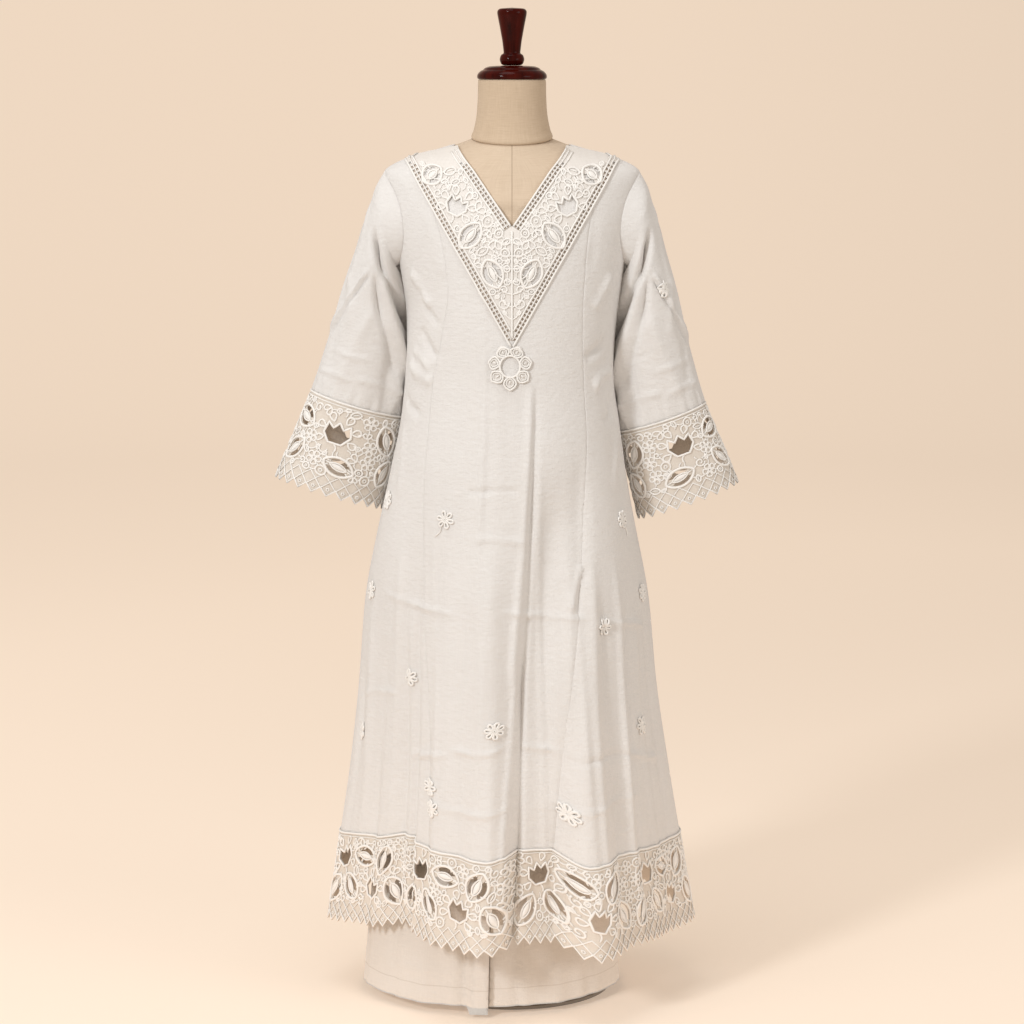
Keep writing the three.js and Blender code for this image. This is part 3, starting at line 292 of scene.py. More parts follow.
def cut(outline, holes=(), step=8.0, mm_per_u=1.0):
    """Triangles of a flat region with holes, with a regular field of points inside it."""
    scale = np.array([mm_per_u, 1.0])
    loops = [counter_clockwise(refine(np.asarray(loop, float) * scale, step))
             for loop in (outline, *holes)]
    edge = np.concatenate(loops)
    low = edge.min(0)
    rows, columns = np.mgrid[low[1] : edge[:, 1].max() : step, low[0] : edge[:, 0].max() : step]
    columns = columns + (np.arange(len(columns)) % 2)[:, None] * step / 2
    field = np.stack([columns.ravel(), rows.ravel()], -1)
    cell = step * 0.45
    size = np.ceil((edge.max(0) - low) / cell).astype(int) + 4
    taken = np.zeros(size, bool)
    i, j = ((edge - low) / cell).astype(int).T + 1
    for di in (-1, 0, 1):
        for dj in (-1, 0, 1):
            taken[i + di, j + dj] = True
    i, j = np.minimum(((field - low) / cell).astype(int).T + 1, size[:, None] - 1)
    field = field[~taken[i, j]]
    starts = np.cumsum([0] + [len(loop) for loop in loops])
    faces = [list(range(a, b)) for a, b in zip(starts[:-1], starts[1:])]
    flat = np.concatenate([edge, field])
    found, _, triangles, _, _, inside = delaunay_2d_cdt(
        [Vector(p) for p in flat.tolist()], [], faces, 0, 1e-5, True)
    kept = np.array([t for t, f in zip(triangles, inside) if f == [0]])
    used, numbers = np.unique(kept.ravel(), return_inverse=True)
    found = np.array([tuple(p) for p in found])[used] / scale
    return found, numbers.reshape(-1, 3)


def lay(surface, u, v, out=0.0, facing=1):
    """P(u, v) + out N, where N lies along dP/du x dP/dv, turned to face outwards."""
    step = 0.05
    along = surface(u + step, v) - surface(u - step, v)
    up = surface(u, v + step) - surface(u, v - step)
    normal = np.cross(along, up)
    normal *= facing / np.maximum(np.linalg.norm(normal, axis=-1, keepdims=True), 1e-9)
    return surface(u, v) + normal * np.asarray(out)[..., None]


def facing_out(faces, facing):
    """Triangles with their corners in the other order where the surface faces inwards."""
    return faces if facing > 0 else faces[:, ::-1]


def area_of(points, faces):
    """Sum of the triangles' areas, from their cross products."""
    a, b, c = points[faces].transpose(1, 0, 2)
    return np.linalg.norm(np.cross(b - a, c - a), axis=-1).sum() / 2


CUTS = {}  # name: flat width and length in metres, area in square metres


def shell(name, surface, region, thickness, material, out=0.0, facing=1, flat=None):
    """A wall of cloth: the surface over a flat region, thickened evenly to both sides.

    Its cut is the pattern's width and length, the width times the fullness of the folds."""
    uv, faces = region
    u, v = uv.T
    pattern = np.stack([u if flat is None else flat(u, v), v], -1)
    points = lay(surface, u, v, out, facing)
    worn = area_of(points, faces)
    fullness = worn / area_of(np.pad(pattern, ((0, 0), (0, 1))), faces)
    width, length = np.ptp(pattern, axis=0) / 1000
    CUTS[name] = (width * fullness, length, worn / 1e6)
    piece = put_mesh(name, points, facing_out(faces, facing), material, pattern)
    wall = piece.modifiers.new("thickness", "SOLIDIFY")
    wall.thickness = thickness / 1000
    wall.offset = 0.0
    even = piece.modifiers.new("even_shading", "WEIGHTED_NORMAL")
    even.weight = 100  # the wide faces decide the shading, not the thin cut edge
    return piece


print("mesh helpers ready")

# %% [markdown]
# ## Finishes
# White cotton isn't one colour: its threads are uneven, it is warmer where it is thin, and it
# carries faint crumples. One node group gives the weave its threads, slubs and crumples from the
# piece's flat coordinates, so the weave follows the cloth. The materials place the group with
# their own values and keep their shaders to themselves.

# %% Node helpers
def new_group(name, inputs, outputs):
    """Shader node group with named inputs (name, kind, default) and outputs (name, kind)."""
    group = bpy.data.node_groups.new(name, "ShaderNodeTree")
    for title, kind, value in inputs:
        socket = group.interface.new_socket(title, in_out="INPUT", socket_type=kind)
        if value is not None:
            socket.default_value = value
    for title, kind in outputs:
        group.interface.new_socket(title, in_out="OUTPUT", socket_type=kind)
    return group, group.nodes.new("NodeGroupInput"), group.nodes.new("NodeGroupOutput")


def node(tree, kind, values=(), **links):
    """Adds a node, sets its properties and values, and links its inputs by name or number."""
    made = tree.nodes.new(kind)
    for key, value in dict(values).items():
        if hasattr(made, str(key)):
            setattr(made, key, value)
        else:
            made.inputs[key].default_value = value
    for key, source in links.items():
        index = int(key[1:]) if key[0] == "i" and key[1:].isdigit() else key.replace("_", " ")
        tree.links.new(source, made.inputs[index])
    return made


def value_math(tree, operation, a, b=None, c=None):
    """Math node on numbers or sockets; gives its output."""
    made = tree.nodes.new("ShaderNodeMath")
    made.operation = operation
    for socket, source in zip(made.inputs, (a, b, c)):
        if isinstance(source, (int, float)):
            socket.default_value = source
        elif source is not None:
            tree.links.new(source, socket)
    return made.outputs[0]


def object_place(tree):
    """The piece's own coordinates, in metres."""
    return node(tree, "ShaderNodeTexCoord").outputs["Object"]


def noise(tree, vector, scale, detail=3.0, rough=0.5, stretch=(1, 1, 1)):
    """Noise at a scale given per metre, stretched along the axes."""
    mapped = node(tree, "ShaderNodeMapping", {"Scale": stretch}, Vector=vector)
    values = {"Scale": scale, "Detail": detail, "Roughness": rough}
    return node(tree, "ShaderNodeTexNoise", values, Vector=mapped.outputs[0]).outputs["Fac"]


FLOAT, COLOR, VECTOR = "NodeSocketFloat", "NodeSocketColor", "NodeSocketVector"

# %% Weave group: threads, slubs, crumples and mottling
SLUB_SCALE, CRUMPLE_SCALE, FINE_SCALE, MOTTLE_SCALE = 900, 26, 95, 7  # of the noises, per metre
SLUB_TONE, SLUB_BUMP, THREAD_BUMP = 1.6, 0.16, 0.035
ROUGH_LOW, ROUGH_SLUB = 0.78, 0.08
weave, enter, leave = new_group(
    "weave", [("Vector", VECTOR, None), ("Place", VECTOR, None), ("Light", COLOR, None),
              ("Shade", COLOR, None), ("Threads", FLOAT, 1500.0), ("Slub", FLOAT, 0.5),
              ("Crumple", FLOAT, 0.5)],
    [("Color", COLOR), ("Height", FLOAT), ("Roughness", FLOAT)])
flat, place = enter.outputs["Vector"], enter.outputs["Place"]
parts = node(weave, "ShaderNodeSeparateXYZ", Vector=flat)
turns = value_math(weave, "MULTIPLY", enter.outputs["Threads"], 2 * math.pi)
warp = value_math(weave, "SINE", value_math(weave, "MULTIPLY", parts.outputs[0], turns))
weft = value_math(weave, "SINE", value_math(weave, "MULTIPLY", parts.outputs[1], turns))
threads = value_math(weave, "MULTIPLY", warp, weft)
across = noise(weave, flat, SLUB_SCALE, 2, 0.6, (0.045, 1.0, 1.0))
down = noise(weave, flat, SLUB_SCALE, 2, 0.6, (1.0, 0.035, 1.0))
slub = value_math(weave, "ADD", across, down)
crumple = noise(weave, place, CRUMPLE_SCALE, 4, 0.62, (1.0, 1.0, 1.5))
fine = noise(weave, place, FINE_SCALE, 3, 0.55, (1.0, 1.0, 1.9))
mottle = noise(weave, place, MOTTLE_SCALE, 3, 0.5)
slubbed = value_math(weave, "MULTIPLY", value_math(weave, "SUBTRACT", slub, 1.0),
                     enter.outputs["Slub"])
tone = value_math(weave, "MULTIPLY_ADD", slubbed, SLUB_TONE, mottle)
mixed = node(weave, "ShaderNodeMix", {"data_type": "RGBA"}, i0=tone)
weave.links.new(enter.outputs["Light"], mixed.inputs[6])
weave.links.new(enter.outputs["Shade"], mixed.inputs[7])
bumps = value_math(weave, "MULTIPLY_ADD", value_math(weave, "ADD", crumple, fine),
                   enter.outputs["Crumple"], value_math(weave, "MULTIPLY", slubbed, SLUB_BUMP))
height = value_math(weave, "MULTIPLY_ADD", threads, THREAD_BUMP, bumps)
rough = value_math(weave, "MULTIPLY_ADD", slub, ROUGH_SLUB, ROUGH_LOW)
weave.links.new(mixed.outputs[2], leave.inputs["Color"])
weave.links.new(height, leave.inputs["Height"])
weave.links.new(rough, leave.inputs["Roughness"])
print("weave group:", len(weave.nodes), "nodes")

# %% Cloth materials
def new_material(name, **constants):
    """Principled material; constants are set on the shader's own sockets."""
    material = bpy.data.materials.new(name)
    material.use_nodes = True
    tree = material.node_tree
    shader = tree.nodes["Principled BSDF"]
    for key, value in constants.items():
        shader.inputs[key.replace("_", " ")].default_value = value
    return material, tree, shader


def cloth_material(name, light, shade, threads=1500.0, slub=0.5, crumple=0.5, bump=0.0012,
                   on_object=False, **constants):
    """Woven cloth: the weave group drives colour, roughness and bump."""
    material, tree, shader = new_material(name, **constants)
    at = node(tree, "ShaderNodeTexCoord")
    used = tree.nodes.new("ShaderNodeGroup")
    used.node_tree = weave
    tree.links.new(at.outputs["Object" if on_object else "UV"], used.inputs["Vector"])
    tree.links.new(at.outputs["Object"], used.inputs["Place"])
    for key, value in (("Light", (*light, 1)), ("Shade", (*shade, 1)), ("Threads", threads),
                       ("Slub", slub), ("Crumple", crumple)):
        used.inputs[key].default_value = value
    relief = node(tree, "ShaderNodeBump", {"Strength": 1.0, "Distance": bump},
                  Height=used.outputs["Height"])
    tree.links.new(used.outputs["Color"], shader.inputs["Base Color"])
    tree.links.new(used.outputs["Roughness"], shader.inputs["Roughness"])
    tree.links.new(relief.outputs[0], shader.inputs["Normal"])
    return material


COTTON = {"Sheen_Weight": 0.1, "Specular_IOR_Level": 0.25}
NET = {"threads": 420.0, "crumple": 0.35, "Specular_IOR_Level": 0.2}
LINEN = {"threads": 1100.0, "slub": 0.9, "crumple": 0.15, "bump": 0.0009, "Sheen_Weight": 0.1,
         "Specular_IOR_Level": 0.2}
cotton = cloth_material("cotton", (0.84, 0.825, 0.81), (0.77, 0.748, 0.725), crumple=0.85,
                        bump=0.0018, Sheen_Roughness=0.5, **COTTON)
# the trousers are the kurta's white cotton; their darker, warmer tones are painted shade from the kurta
# over them
trouser_cotton_painted_shade = cloth_material("trouser_cotton_painted_shade", (0.77, 0.738, 0.70), (0.70, 0.66, 0.612),
                                crumple=0.7, bump=0.0016, **COTTON)
# the hem's and cuffs' lace ground is tan partly for the net itself and partly as painted shade, the
# shadow behind a sheer net
net = cloth_material("lace_ground_and_painted_shade", (0.78, 0.725, 0.66), (0.69, 0.625, 0.55), slub=0.8,
                     bump=0.0016, **NET)
yoke_net = cloth_material("yoke_ground", (0.83, 0.80, 0.765), (0.755, 0.72, 0.68), slub=0.7,
                          bump=0.0014, **NET)
thread = cloth_material("embroidery_thread", (0.93, 0.915, 0.89), (0.87, 0.845, 0.81),
                        threads=900.0, slub=0.4, crumple=0.2, bump=0.0008, on_object=True,
                        Sheen_Weight=0.25, Specular_IOR_Level=0.35)
# one linen in two copies: the torso's is painted lighter where light falls on it from above, and the
# neck's is darker as painted shade
linen = cloth_material("linen", (0.70, 0.57, 0.435), (0.60, 0.475, 0.35), **LINEN)
neck_linen_painted_shade = cloth_material("neck_linen_painted_shade", (0.64, 0.505, 0.37), (0.54, 0.415, 0.29), **LINEN)
print("cloth materials made")

# %% [markdown]
# Two marks and a painted shade are tinted into the cloths by their place, in metres: the form's
# seam down the front, the stitch line over the trousers' hem, and painted shade on the cotton under
# the yoke's two ladders of small holes, so that the holes look dark. A ladder lies beside the line
# x = slope (z - low).

# %% Marks and a painted shade tinted into the cloths
SEAM_HALF_WIDTH = 0.0007
STITCH_LOW, STITCH_HIGH = 0.0393, 0.0411
LADDERS = [  # low, slope, and the ladder's two edges beside the line
    (0.985, 0.580, -0.0115, -0.0030), (1.163, 0.692, 0.0030, 0.0115)]
LADDERS_LOW, LADDERS_HIGH = 1.0, 1.252


def between(tree, value, low, high):
    """1 where low < value < high, else 0."""
    above = value_math(tree, "GREATER_THAN", value, low)
    return value_math(tree, "MULTIPLY", above, value_math(tree, "LESS_THAN", value, high))


def tinted(material, mask, share, color):
    """Mixes a colour into what the material's base colour has, by a mask."""
    tree = material.node_tree
    shader = tree.nodes["Principled BSDF"]
    mixed = node(tree, "ShaderNodeMix", {"data_type": "RGBA"},
                 i0=value_math(tree, "MULTIPLY", mask, share))
    tree.links.new(shader.inputs["Base Color"].links[0].from_socket, mixed.inputs[6])
    mixed.inputs[7].default_value = (*color, 1)
    tree.links.new(mixed.outputs[2], shader.inputs["Base Color"])


def places(material):
    """The material's tree, and its object coordinates: |x|, 1 in front and 0 behind, and z."""
    tree = material.node_tree
    x, y, z = node(tree, "ShaderNodeSeparateXYZ", Vector=object_place(tree)).outputs
    return tree, value_math(tree, "ABSOLUTE", x), value_math(tree, "LESS_THAN", y, 0.0), z


def tint_form_seam():
    tree, x, front, _ = places(linen)
    seam = value_math(tree, "LESS_THAN", x, SEAM_HALF_WIDTH)
    tinted(linen, value_math(tree, "MULTIPLY", front, seam), 0.5, (0.24, 0.16, 0.10))


def tint_stitch_line():
    tree, _, _, z = places(trouser_cotton_painted_shade)
    tinted(trouser_cotton_painted_shade, between(tree, z, STITCH_LOW, STITCH_HIGH), 0.3, (0.47, 0.42, 0.36))


def paint_ladder_shade():
    tree, x, front, z = places(cotton)
    masks = []
    for low, slope, near, far in LADDERS:
        line = value_math(tree, "MULTIPLY", value_math(tree, "SUBTRACT", z, low), slope)
        across = value_math(tree, "SUBTRACT", x, line)
        beside = value_math(tree, "MULTIPLY", across, 1 / math.hypot(1, slope))
        masks.append(between(tree, beside, near, far))
    yoke = value_math(tree, "MULTIPLY", front, between(tree, z, LADDERS_LOW, LADDERS_HIGH))
    shaded = value_math(tree, "MULTIPLY", value_math(tree, "ADD", *masks), yoke)
    # painted shade: the cotton is darkened warm brown under the ladders, so that their holes look dark
    tinted(cotton, shaded, 0.62, (0.50, 0.36, 0.24))


for tint in (tint_form_seam, tint_stitch_line, paint_ladder_shade):
    tint()
print("marks tinted into", linen.name, trouser_cotton_painted_shade.name, cotton.name)

# %% [markdown]
# ## Kurta panels
# The kurta is sewn from a front centre panel with the V neck, a side panel on each side between
# the curved princess seam and the side seam, and one back panel. Each outline runs along the
# seams in angle and height, and the wall is 1.2 mm thick.

# %% Panel outlines
CLOTH, SEAM = 1.2, 0.3
JOIN_GAP = 0.03  # between a panel or a sleeve and the lace below it
SIDE_GAP, PRINCESS_GAP = 0.08, 0.02  # beside a side seam in degrees, beside a princess seam in mm
PANEL_LOW, SIDE_TOP = LACE_TOP + JOIN_GAP, UNDERARM - 1
SEAM_TOP, SHOULDER_LOW = 1264.0, 1242.5  # top of the princess seams, start of the shoulder seams
HOLE_WIDER = 0.12  # the panels end this far outside the armhole's line
HOLE_HALF_ANGLE, HOLE_MM = 27, 2.6  # half the armhole's angle, and mm a degree there
KURTA_CUT_MM = 3.6  # mm a degree that the panels' triangles are laid out with
V_NECK = np.array([(0, 1163), (20, 1192), (40, 1221), (58, 1247), (70, 1264)], float)
BACK_NECK = [(120, 1273), (150, 1266), (180, 1263), (210, 1266), (240, 1273)]
NECK_EDGE = 1279.0
COLLAR = np.array([(89.9, 1267.5), (89.9, NECK_EDGE)])


def armhole(side, turn, wider=0.0):
    """Angle and height of the armhole: turn 0 the shoulder's tip, 90 the front, 180 below."""
    s, c = np.sin(np.radians(turn)), np.cos(np.radians(turn))
    height = (UNDERARM + SHOULDER) / 2 + ((SHOULDER - UNDERARM) / 2 + wider) * c
    angle = side * (90 - (HOLE_HALF_ANGLE + wider / HOLE_MM) * s)
    return angle, height


def edge(angles, heights):
    """Points of an outline; a single angle serves for all heights."""
    return np.stack(np.broadcast_arrays(angles, heights), -1)


def hole_edge(side, first, last):
    """The panels' edge round the armhole; behind it the angle goes on past 90."""
    angle, height = armhole(side, np.linspace(first, last, 48), HOLE_WIDER)
    return edge(np.where(angle < -90, angle + 360, angle), height)


rise = np.linspace(PANEL_LOW, SEAM_TOP, 130)
half_gap = PRINCESS_GAP / kurta_mm_per_degree(rise)
left_seam, right_seam = curve_at(PRINCESS, rise)
neck_side = edge(angle_at(V_NECK[:, 0], V_NECK[:, 1]), V_NECK[:, 1])
front_outline = np.concatenate([
    edge(right_seam - half_gap, rise), COLLAR, neck_side[::-1], neck_side[1:] * (-1, 1),
    COLLAR[::-1] * (-1, 1), edge(left_seam + half_gap, rise)[::-1]])
sides = {}
for side, seam in ((-1, left_seam), (1, right_seam)):
    outer = side * 90 - side * SIDE_GAP
    sides[side] = np.concatenate([
        edge(seam + side * half_gap, rise), edge(outer, np.linspace(1266, SHOULDER_LOW, 6)),
        hole_edge(side, 4, 176), edge(outer, np.linspace(SIDE_TOP, PANEL_LOW, 110))])
long_rise = np.linspace(PANEL_LOW, SIDE_TOP, 110)
short_rise = np.linspace(SHOULDER_LOW, NECK_EDGE, 8)
back_right, back_left = 90 + SIDE_GAP, 270 - SIDE_GAP
back_outline = np.concatenate([
    edge(back_right, long_rise), hole_edge(1, 184, 356), edge(back_right, short_rise), BACK_NECK,
    edge(back_left, short_rise[::-1]), hole_edge(-1, 356, 184), edge(back_left, long_rise[::-1])])
print("outline points:", len(front_outline), len(sides[1]), len(back_outline))

# %% Panels
def kurta_flat(angle, height):
    """Flat place across the kurta, in mm."""
    return angle * kurta_mm_per_degree(height)


for name, outline, step in (("front_centre", front_outline, 4.0), ("front_left", sides[-1], 4.0),
                            ("front_right", sides[1], 4.0), ("back", back_outline, 5.4)):
    region = cut(outline, step=step, mm_per_u=KURTA_CUT_MM)
    panel = shell(f"kurta_{name}_cloth", kurta, region, CLOTH, cotton, flat=kurta_flat)
    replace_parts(panel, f"kurta_{name}")
    print(name, len(region[1]), "triangles")

# %% [markdown]
# ## Sleeves
# A three-quarter bell sleeve is a tube through slanting ovals. Its last stretch runs from the
# top ring into the armhole on the kurta's surface, with the same slope where they join. Small
# tucks gather the cloth above the lace cuff.

# %% Sleeve surface
CUFF, TOP_RING, SLEEVE_TOP = 140.0, 445.0, 486.0
SLEEVE_MM = 1.13  # mm a degree round the cuff
SLEEVE_FLAT_MM, SLEEVE_CUT_MM, HALF_TURN = 1.1, 1.05, 179.95  # of the sleeve's flat pattern
TUCK_DEPTH, TUCK_LENGTH = 0.9, 26.0
JOIN_DEPTH, JOIN_HALF = 0.8, 3.0  # the cloth turns in where the cuff is sewn on
SLEEVES = {
    -1: np.array([  # up, outer x, outer z, inner x, inner z, half-depth, behind
        (0, 356, 781, 203, 732, 48, 14), (47, 337, 826, 194, 779, 48, 14),
        (94, 318, 870, 183, 826, 48, 13), (140, 300, 914, 174, 873, 48, 12),
        (200, 281, 972, 163, 935, 50, 9), (265, 261, 1032, 160.5, 998, 53, 6),
        (335, 239, 1100, 164.5, 1056, 55, 3), (400, 219, 1162, 168.5, 1080, 54, 1),
        (445, 205, 1208, 171.5, 1091, 51, 0)], float),
    1: np.array([
        (0, 340, 772, 198, 717, 50, 14), (47, 324, 813, 189, 762, 49, 14),
        (94, 306, 854, 179, 807, 48, 13), (140, 289, 895, 168, 850, 48, 12),
        (200, 272, 955, 158.5, 915, 50, 9), (265, 254, 1020, 157, 984, 53, 6),
        (335, 235, 1094, 163.5, 1048, 55, 3), (400, 217, 1160, 168, 1078, 54, 1),
        (445, 204, 1208, 171.5, 1091, 51, 0)], float)}
SLEEVE_CREASES = [  # from (turn, up) to (turn, up), width and depth
    (50, 420, 178, 262, 11, -15.0), (96, 372, 158, 190, 9, 7.5), (84, 360, 134, 185, 7, -8.5),
    (100, 300, 150, 142, 9, 3.9), (112, 270, 132, 142, 8, -3.3), (0, 224, 74, 352, 3.6, 4.2),
    (5, 218, 79, 346, 3.6, -4.2), (20, 330, 60, 250, 9, 2.4), (84, 300, 66, 160, 10, 2.7),
    (34, 300, 40, 160, 9, -2), (12, 176, 84, 172, 3.8, 2.2), (80, 178, 160, 174, 3.8, 2.2),
    (22, 208, 104, 212, 3.8, 1.9), (90, 240, 140, 232, 3, -1.2), (16, 440, 30, 300, 9, 2.4),
    (-60, 330, -40, 200, 10, 2.7), (-100, 380, -60, 260, 10, -2.7), (-125, 330, -110, 180, 10, 2.4),
    (-30, 205, -110, 198, 3, 1.3), (250, 340, 262, 190, 10, 2.7), (0, 420, 5, 240, 12, 2.1),
    (-150, 340, -150, 190, 9, -2.4), (205, 330, 212, 180, 9, 2.5), (310, 300, 318, 180, 9, -2.1),
    (-20, 178, -80, 174, 2.6, 1.6), (200, 176, 262, 172, 2.6, 1.6)]
INNER_LEAN = np.array([  # up, inner end moved towards the body, and back, in mm
    (0, 6, 6), (60, 8, 9), (140, 11, 13), (230, 13, 17), (320, 12, 15), (400, 8, 9), (430, 5, 6),
    (445, 0, 0)], float)


def sleeve_ring(side, turn, up):
    """Slanting oval: share (1 + cos t) / 2 from its inner to its outer end, depth by sin t.

    Its inner end leans in behind the body, by lean (1 - share)^3."""
    outer_x, outer_z, inner_x, inner_z, depth, behind = curve_at(SLEEVES[side], up)
    share = (1 + np.cos(np.radians(turn))) / 2
    lean, back = curve_at(INNER_LEAN, up)
    near = (1 - share) ** 3
    x = side * (inner_x + (outer_x - inner_x) * share - lean * near)
    y = behind - depth * np.sin(np.radians(turn)) + back * near
    return np.stack([x, y, inner_z + (outer_z - inner_z) * share], -1)


def sleeve_of(side):
    """Surface of one sleeve, by the turn round it and the way up from the cuff's edge."""
    def surface(turn, up):
        """Ring below, and above it P = R + s (A - R) + s (1 - s)^2 (slope - (A - R))."""
        turn, up = np.broadcast_arrays(np.asarray(turn, float), np.asarray(up, float))
        ring = sleeve_ring(side, turn, np.minimum(up, TOP_RING))
        slope = sleeve_ring(side, turn, TOP_RING) - sleeve_ring(side, turn, TOP_RING - 2)
        angle, height = armhole(side, turn)
        rim = kurta(np.where(angle < -90, angle + 360, angle), height)
        s = np.clip((up - TOP_RING) / (SLEEVE_TOP - TOP_RING), 0, 1.05)[..., None]
        gone = rim - ring
        high = s * gone + s * (1 - s) ** 2 * (slope * (SLEEVE_TOP - TOP_RING) / 2 - gone)
        wrapped = np.mod(turn + 180, 360) - 180
        rise = creased(SLEEVE_CREASES, wrapped, up, SLEEVE_MM)
        rise = rise + creased(SLEEVE_CREASES, np.mod(turn, 360), up, SLEEVE_MM) * (turn > 180)
        tucks = np.sin(np.radians(turn * 19)) + 0.6 * np.sin(np.radians(turn * 31 + 40))
        rise = rise + TUCK_DEPTH * tucks * np.exp(-((up - CUFF) / TUCK_LENGTH) ** 2) * (up > CUFF - 1)
        rise = rise - JOIN_DEPTH * np.exp(-((up - CUFF) / JOIN_HALF) ** 2)
        s_turn, c_turn = np.sin(np.radians(turn)), np.cos(np.radians(turn))
        push = np.stack([side * c_turn, -s_turn, 0.3 * c_turn], -1)
        return ring + high + push * (rise * (1 - s[..., 0]))[..., None]
    return surface


def rectangle(left, right, low, high):
    """Corners, counter-clockwise."""
    return [(left, low), (right, low), (right, high), (left, high)]


def even_width(mm_per_u):
    """Flat place across a piece whose mm for each unit of u stay the same."""
    return lambda u, v: u * mm_per_u


for side, name in ((-1, "left"), (1, "right")):
    outline = rectangle(-HALF_TURN, HALF_TURN, CUFF + JOIN_GAP, SLEEVE_TOP)
    region = cut(outline, step=3.6, mm_per_u=SLEEVE_CUT_MM)
    sleeve = shell(f"sleeve_{name}_cloth", sleeve_of(side), region, CLOTH, cotton,
                   facing=-side, flat=even_width(SLEEVE_FLAT_MM))
    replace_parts(sleeve, f"sleeve_{name}")
    print("sleeve", name, len(region[1]), "triangles")

# %% [markdown]
# ## Cutwork lace
# Cutwork is a net or cloth ground, cut away inside the motifs, with thick white cords couched
# along every outline. The ground is cut like the panels, with real holes, and each cord is a
# half-round profile carried along a flat path, then laid on the kurta or the sleeve. The large
# eyes and tulips lie in the places of the solids' gaps. Between them a seeded scatter puts
# small flowers, drops and rings, joined by thin curved bars, as a lace designer fills a band.

# %% Cords along flat paths
ROUND = np.radians([-25.0, 30.0, 90.0, 150.0, 205.0])  # corners of the half-round profile
GROUND, CORD_BASE = 1.0, 0.35  # the ground's thickness, the cords' start above its middle


def cord_faces(count, sides, closed, first):
    """Triangles between the rings of a cord, with a fan over each end of an open one."""
    i, k = np.meshgrid(np.arange(count if closed else count - 1), np.arange(sides), indexing="ij")
    near, far, k2 = i * sides, ((i + 1) % count) * sides, (k + 1) % sides
    a, b, c, d = near + k, near + k2, far + k2, far + k
    faces = [np.stack([a, b, c], -1).reshape(-1, 3), np.stack([a, c, d], -1).reshape(-1, 3)]
    if not closed:
        fan = np.arange(1, sides - 1)
        last = (count - 1) * sides
        faces.append(np.stack([0 * fan, fan + 1, fan], -1))
        faces.append(np.stack([last + 0 * fan, last + fan, last + fan + 1], -1))
    return np.concatenate(faces) + first


def cord_points(points, closed, width, high, base):
    """Ring at each path point P: P + w cos q N beside it and base + h (1 + sin q) / 2 above."""
    points = np.asarray(points, float)
    if closed:
        tangent = np.roll(points, -1, axis=0) - np.roll(points, 1, axis=0)
    else:
        tangent = np.gradient(points, axis=0)
    tangent /= np.maximum(np.hypot(*tangent.T), 1e-9)[:, None]
    beside = np.stack([-tangent[:, 1], tangent[:, 0]], -1)
    size = np.broadcast_to(np.asarray(width, float), (len(points),))[:, None]
    tall = np.broadcast_to(np.asarray(high, float), (len(points),))[:, None]
    flat = points[:, None] + (size * np.cos(ROUND) / 2)[..., None] * beside[:, None]
    return flat.reshape(-1, 2), (base + tall * (1 + np.sin(ROUND)) / 2).ravel()


def cords(name, paths, surface, place, facing=1, base=CORD_BASE):
    """One mesh of many cords of thread: paths are (points, closed, width, height)."""
    flats, outs, faces, first = [], [], [], 0
    for points, closed, width, high in paths:
        flat, out = cord_points(points, closed, width, high, base)
        flats.append(flat)
        outs.append(out)
        faces.append(cord_faces(len(points), len(ROUND), closed, first))
        first += len(flat)
    u, v = place(np.concatenate(flats))
    faces = facing_out(np.concatenate(faces), facing)
    put_mesh(name, lay(surface, u, v, np.concatenate(outs), facing), faces, thread)
    print(name, len(paths), "cords", len(faces), "triangles")


# %% Motif shapes, in flat millimetres round their own middle
def petal(long, wide, count=12):
    """Drop: along L (1 - cos q) / 2, across W sin q sin(q / 2), pointed where it starts."""
    q = np.linspace(0, 2 * np.pi, count, endpoint=False)
    return np.stack([0.62 * wide * np.sin(q) * np.sin(q / 2), long * (1 - np.cos(q)) / 2], -1)


def almond(long, wide, count=28):
    """Oval with soft points: x = +-W (1 - t^2)^0.75 / 2, y = L t / 2."""
    t = np.sin(np.linspace(-np.pi / 2, np.pi / 2, count // 2 + 1))[:-1]
    half = np.stack([wide * (1 - t ** 2) ** 0.75 / 2, long * t / 2], -1)
    return np.concatenate([half, -half])


def ring(radius, count=12, squash=1.0):
    q = np.linspace(0, 2 * np.pi, count, endpoint=False)
    return np.stack([radius * np.cos(q), radius * squash * np.sin(q)], -1)


def scroll(radius, turns=1.2, count=14):
    """Spiral: radius R (1 - 0.75 t), turned by 360 degrees times turns t."""
    t = np.linspace(0, 1, count)
    r, q = radius * (1 - 0.75 * t), 2 * np.pi * turns * t
    return np.stack([r * np.cos(q), r * np.sin(q)], -1)


def bow(a, b, sag=0.15, count=7):
    """Curved bar from a to b: straight line plus sag L 4 t (1 - t) to one side."""
    a, b = np.asarray(a, float), np.asarray(b, float)
    t = np.linspace(0, 1, count)[:, None]
    side = np.array([-(b - a)[1], (b - a)[0]])
    return a + (b - a) * t + side * sag * 4 * t * (1 - t)


TULIP = np.array([(0.24, -0.45), (0.5, -0.05), (0.42, 0.44), (0.17, 0.2)])


def tulip(long, wide, grown=0.0):
    """Three pointed petals over a cup; grown moves the outline out from the middle."""
    right = TULIP * (wide, long)
    shape = np.concatenate([right, [(0, 0.5 * long)], right[::-1] * (-1, 1)])
    size = np.hypot(*shape.T)[:, None]
    return shape * (1 + grown / size)


def moved(points, x=0.0, y=0.0, turn=0.0):
    c, s = math.cos(math.radians(turn)), math.sin(math.radians(turn))
    return np.asarray(points) @ np.array([(c, s), (-s, c)]) + (x, y)


def moved_all(paths, x=0.0, y=0.0, turn=0.0):
    return [(moved(points, x, y, turn), *rest) for points, *rest in paths]


def petals_round(count, start, long, wide, width, high, first=0.0, points=12):
    """Looped petals round a middle, each from start outwards."""
    shape = petal(long, wide, points) + (0, start)
    return [(moved(shape, turn=first + 360 * i / count), True, width, high) for i in range(count)]


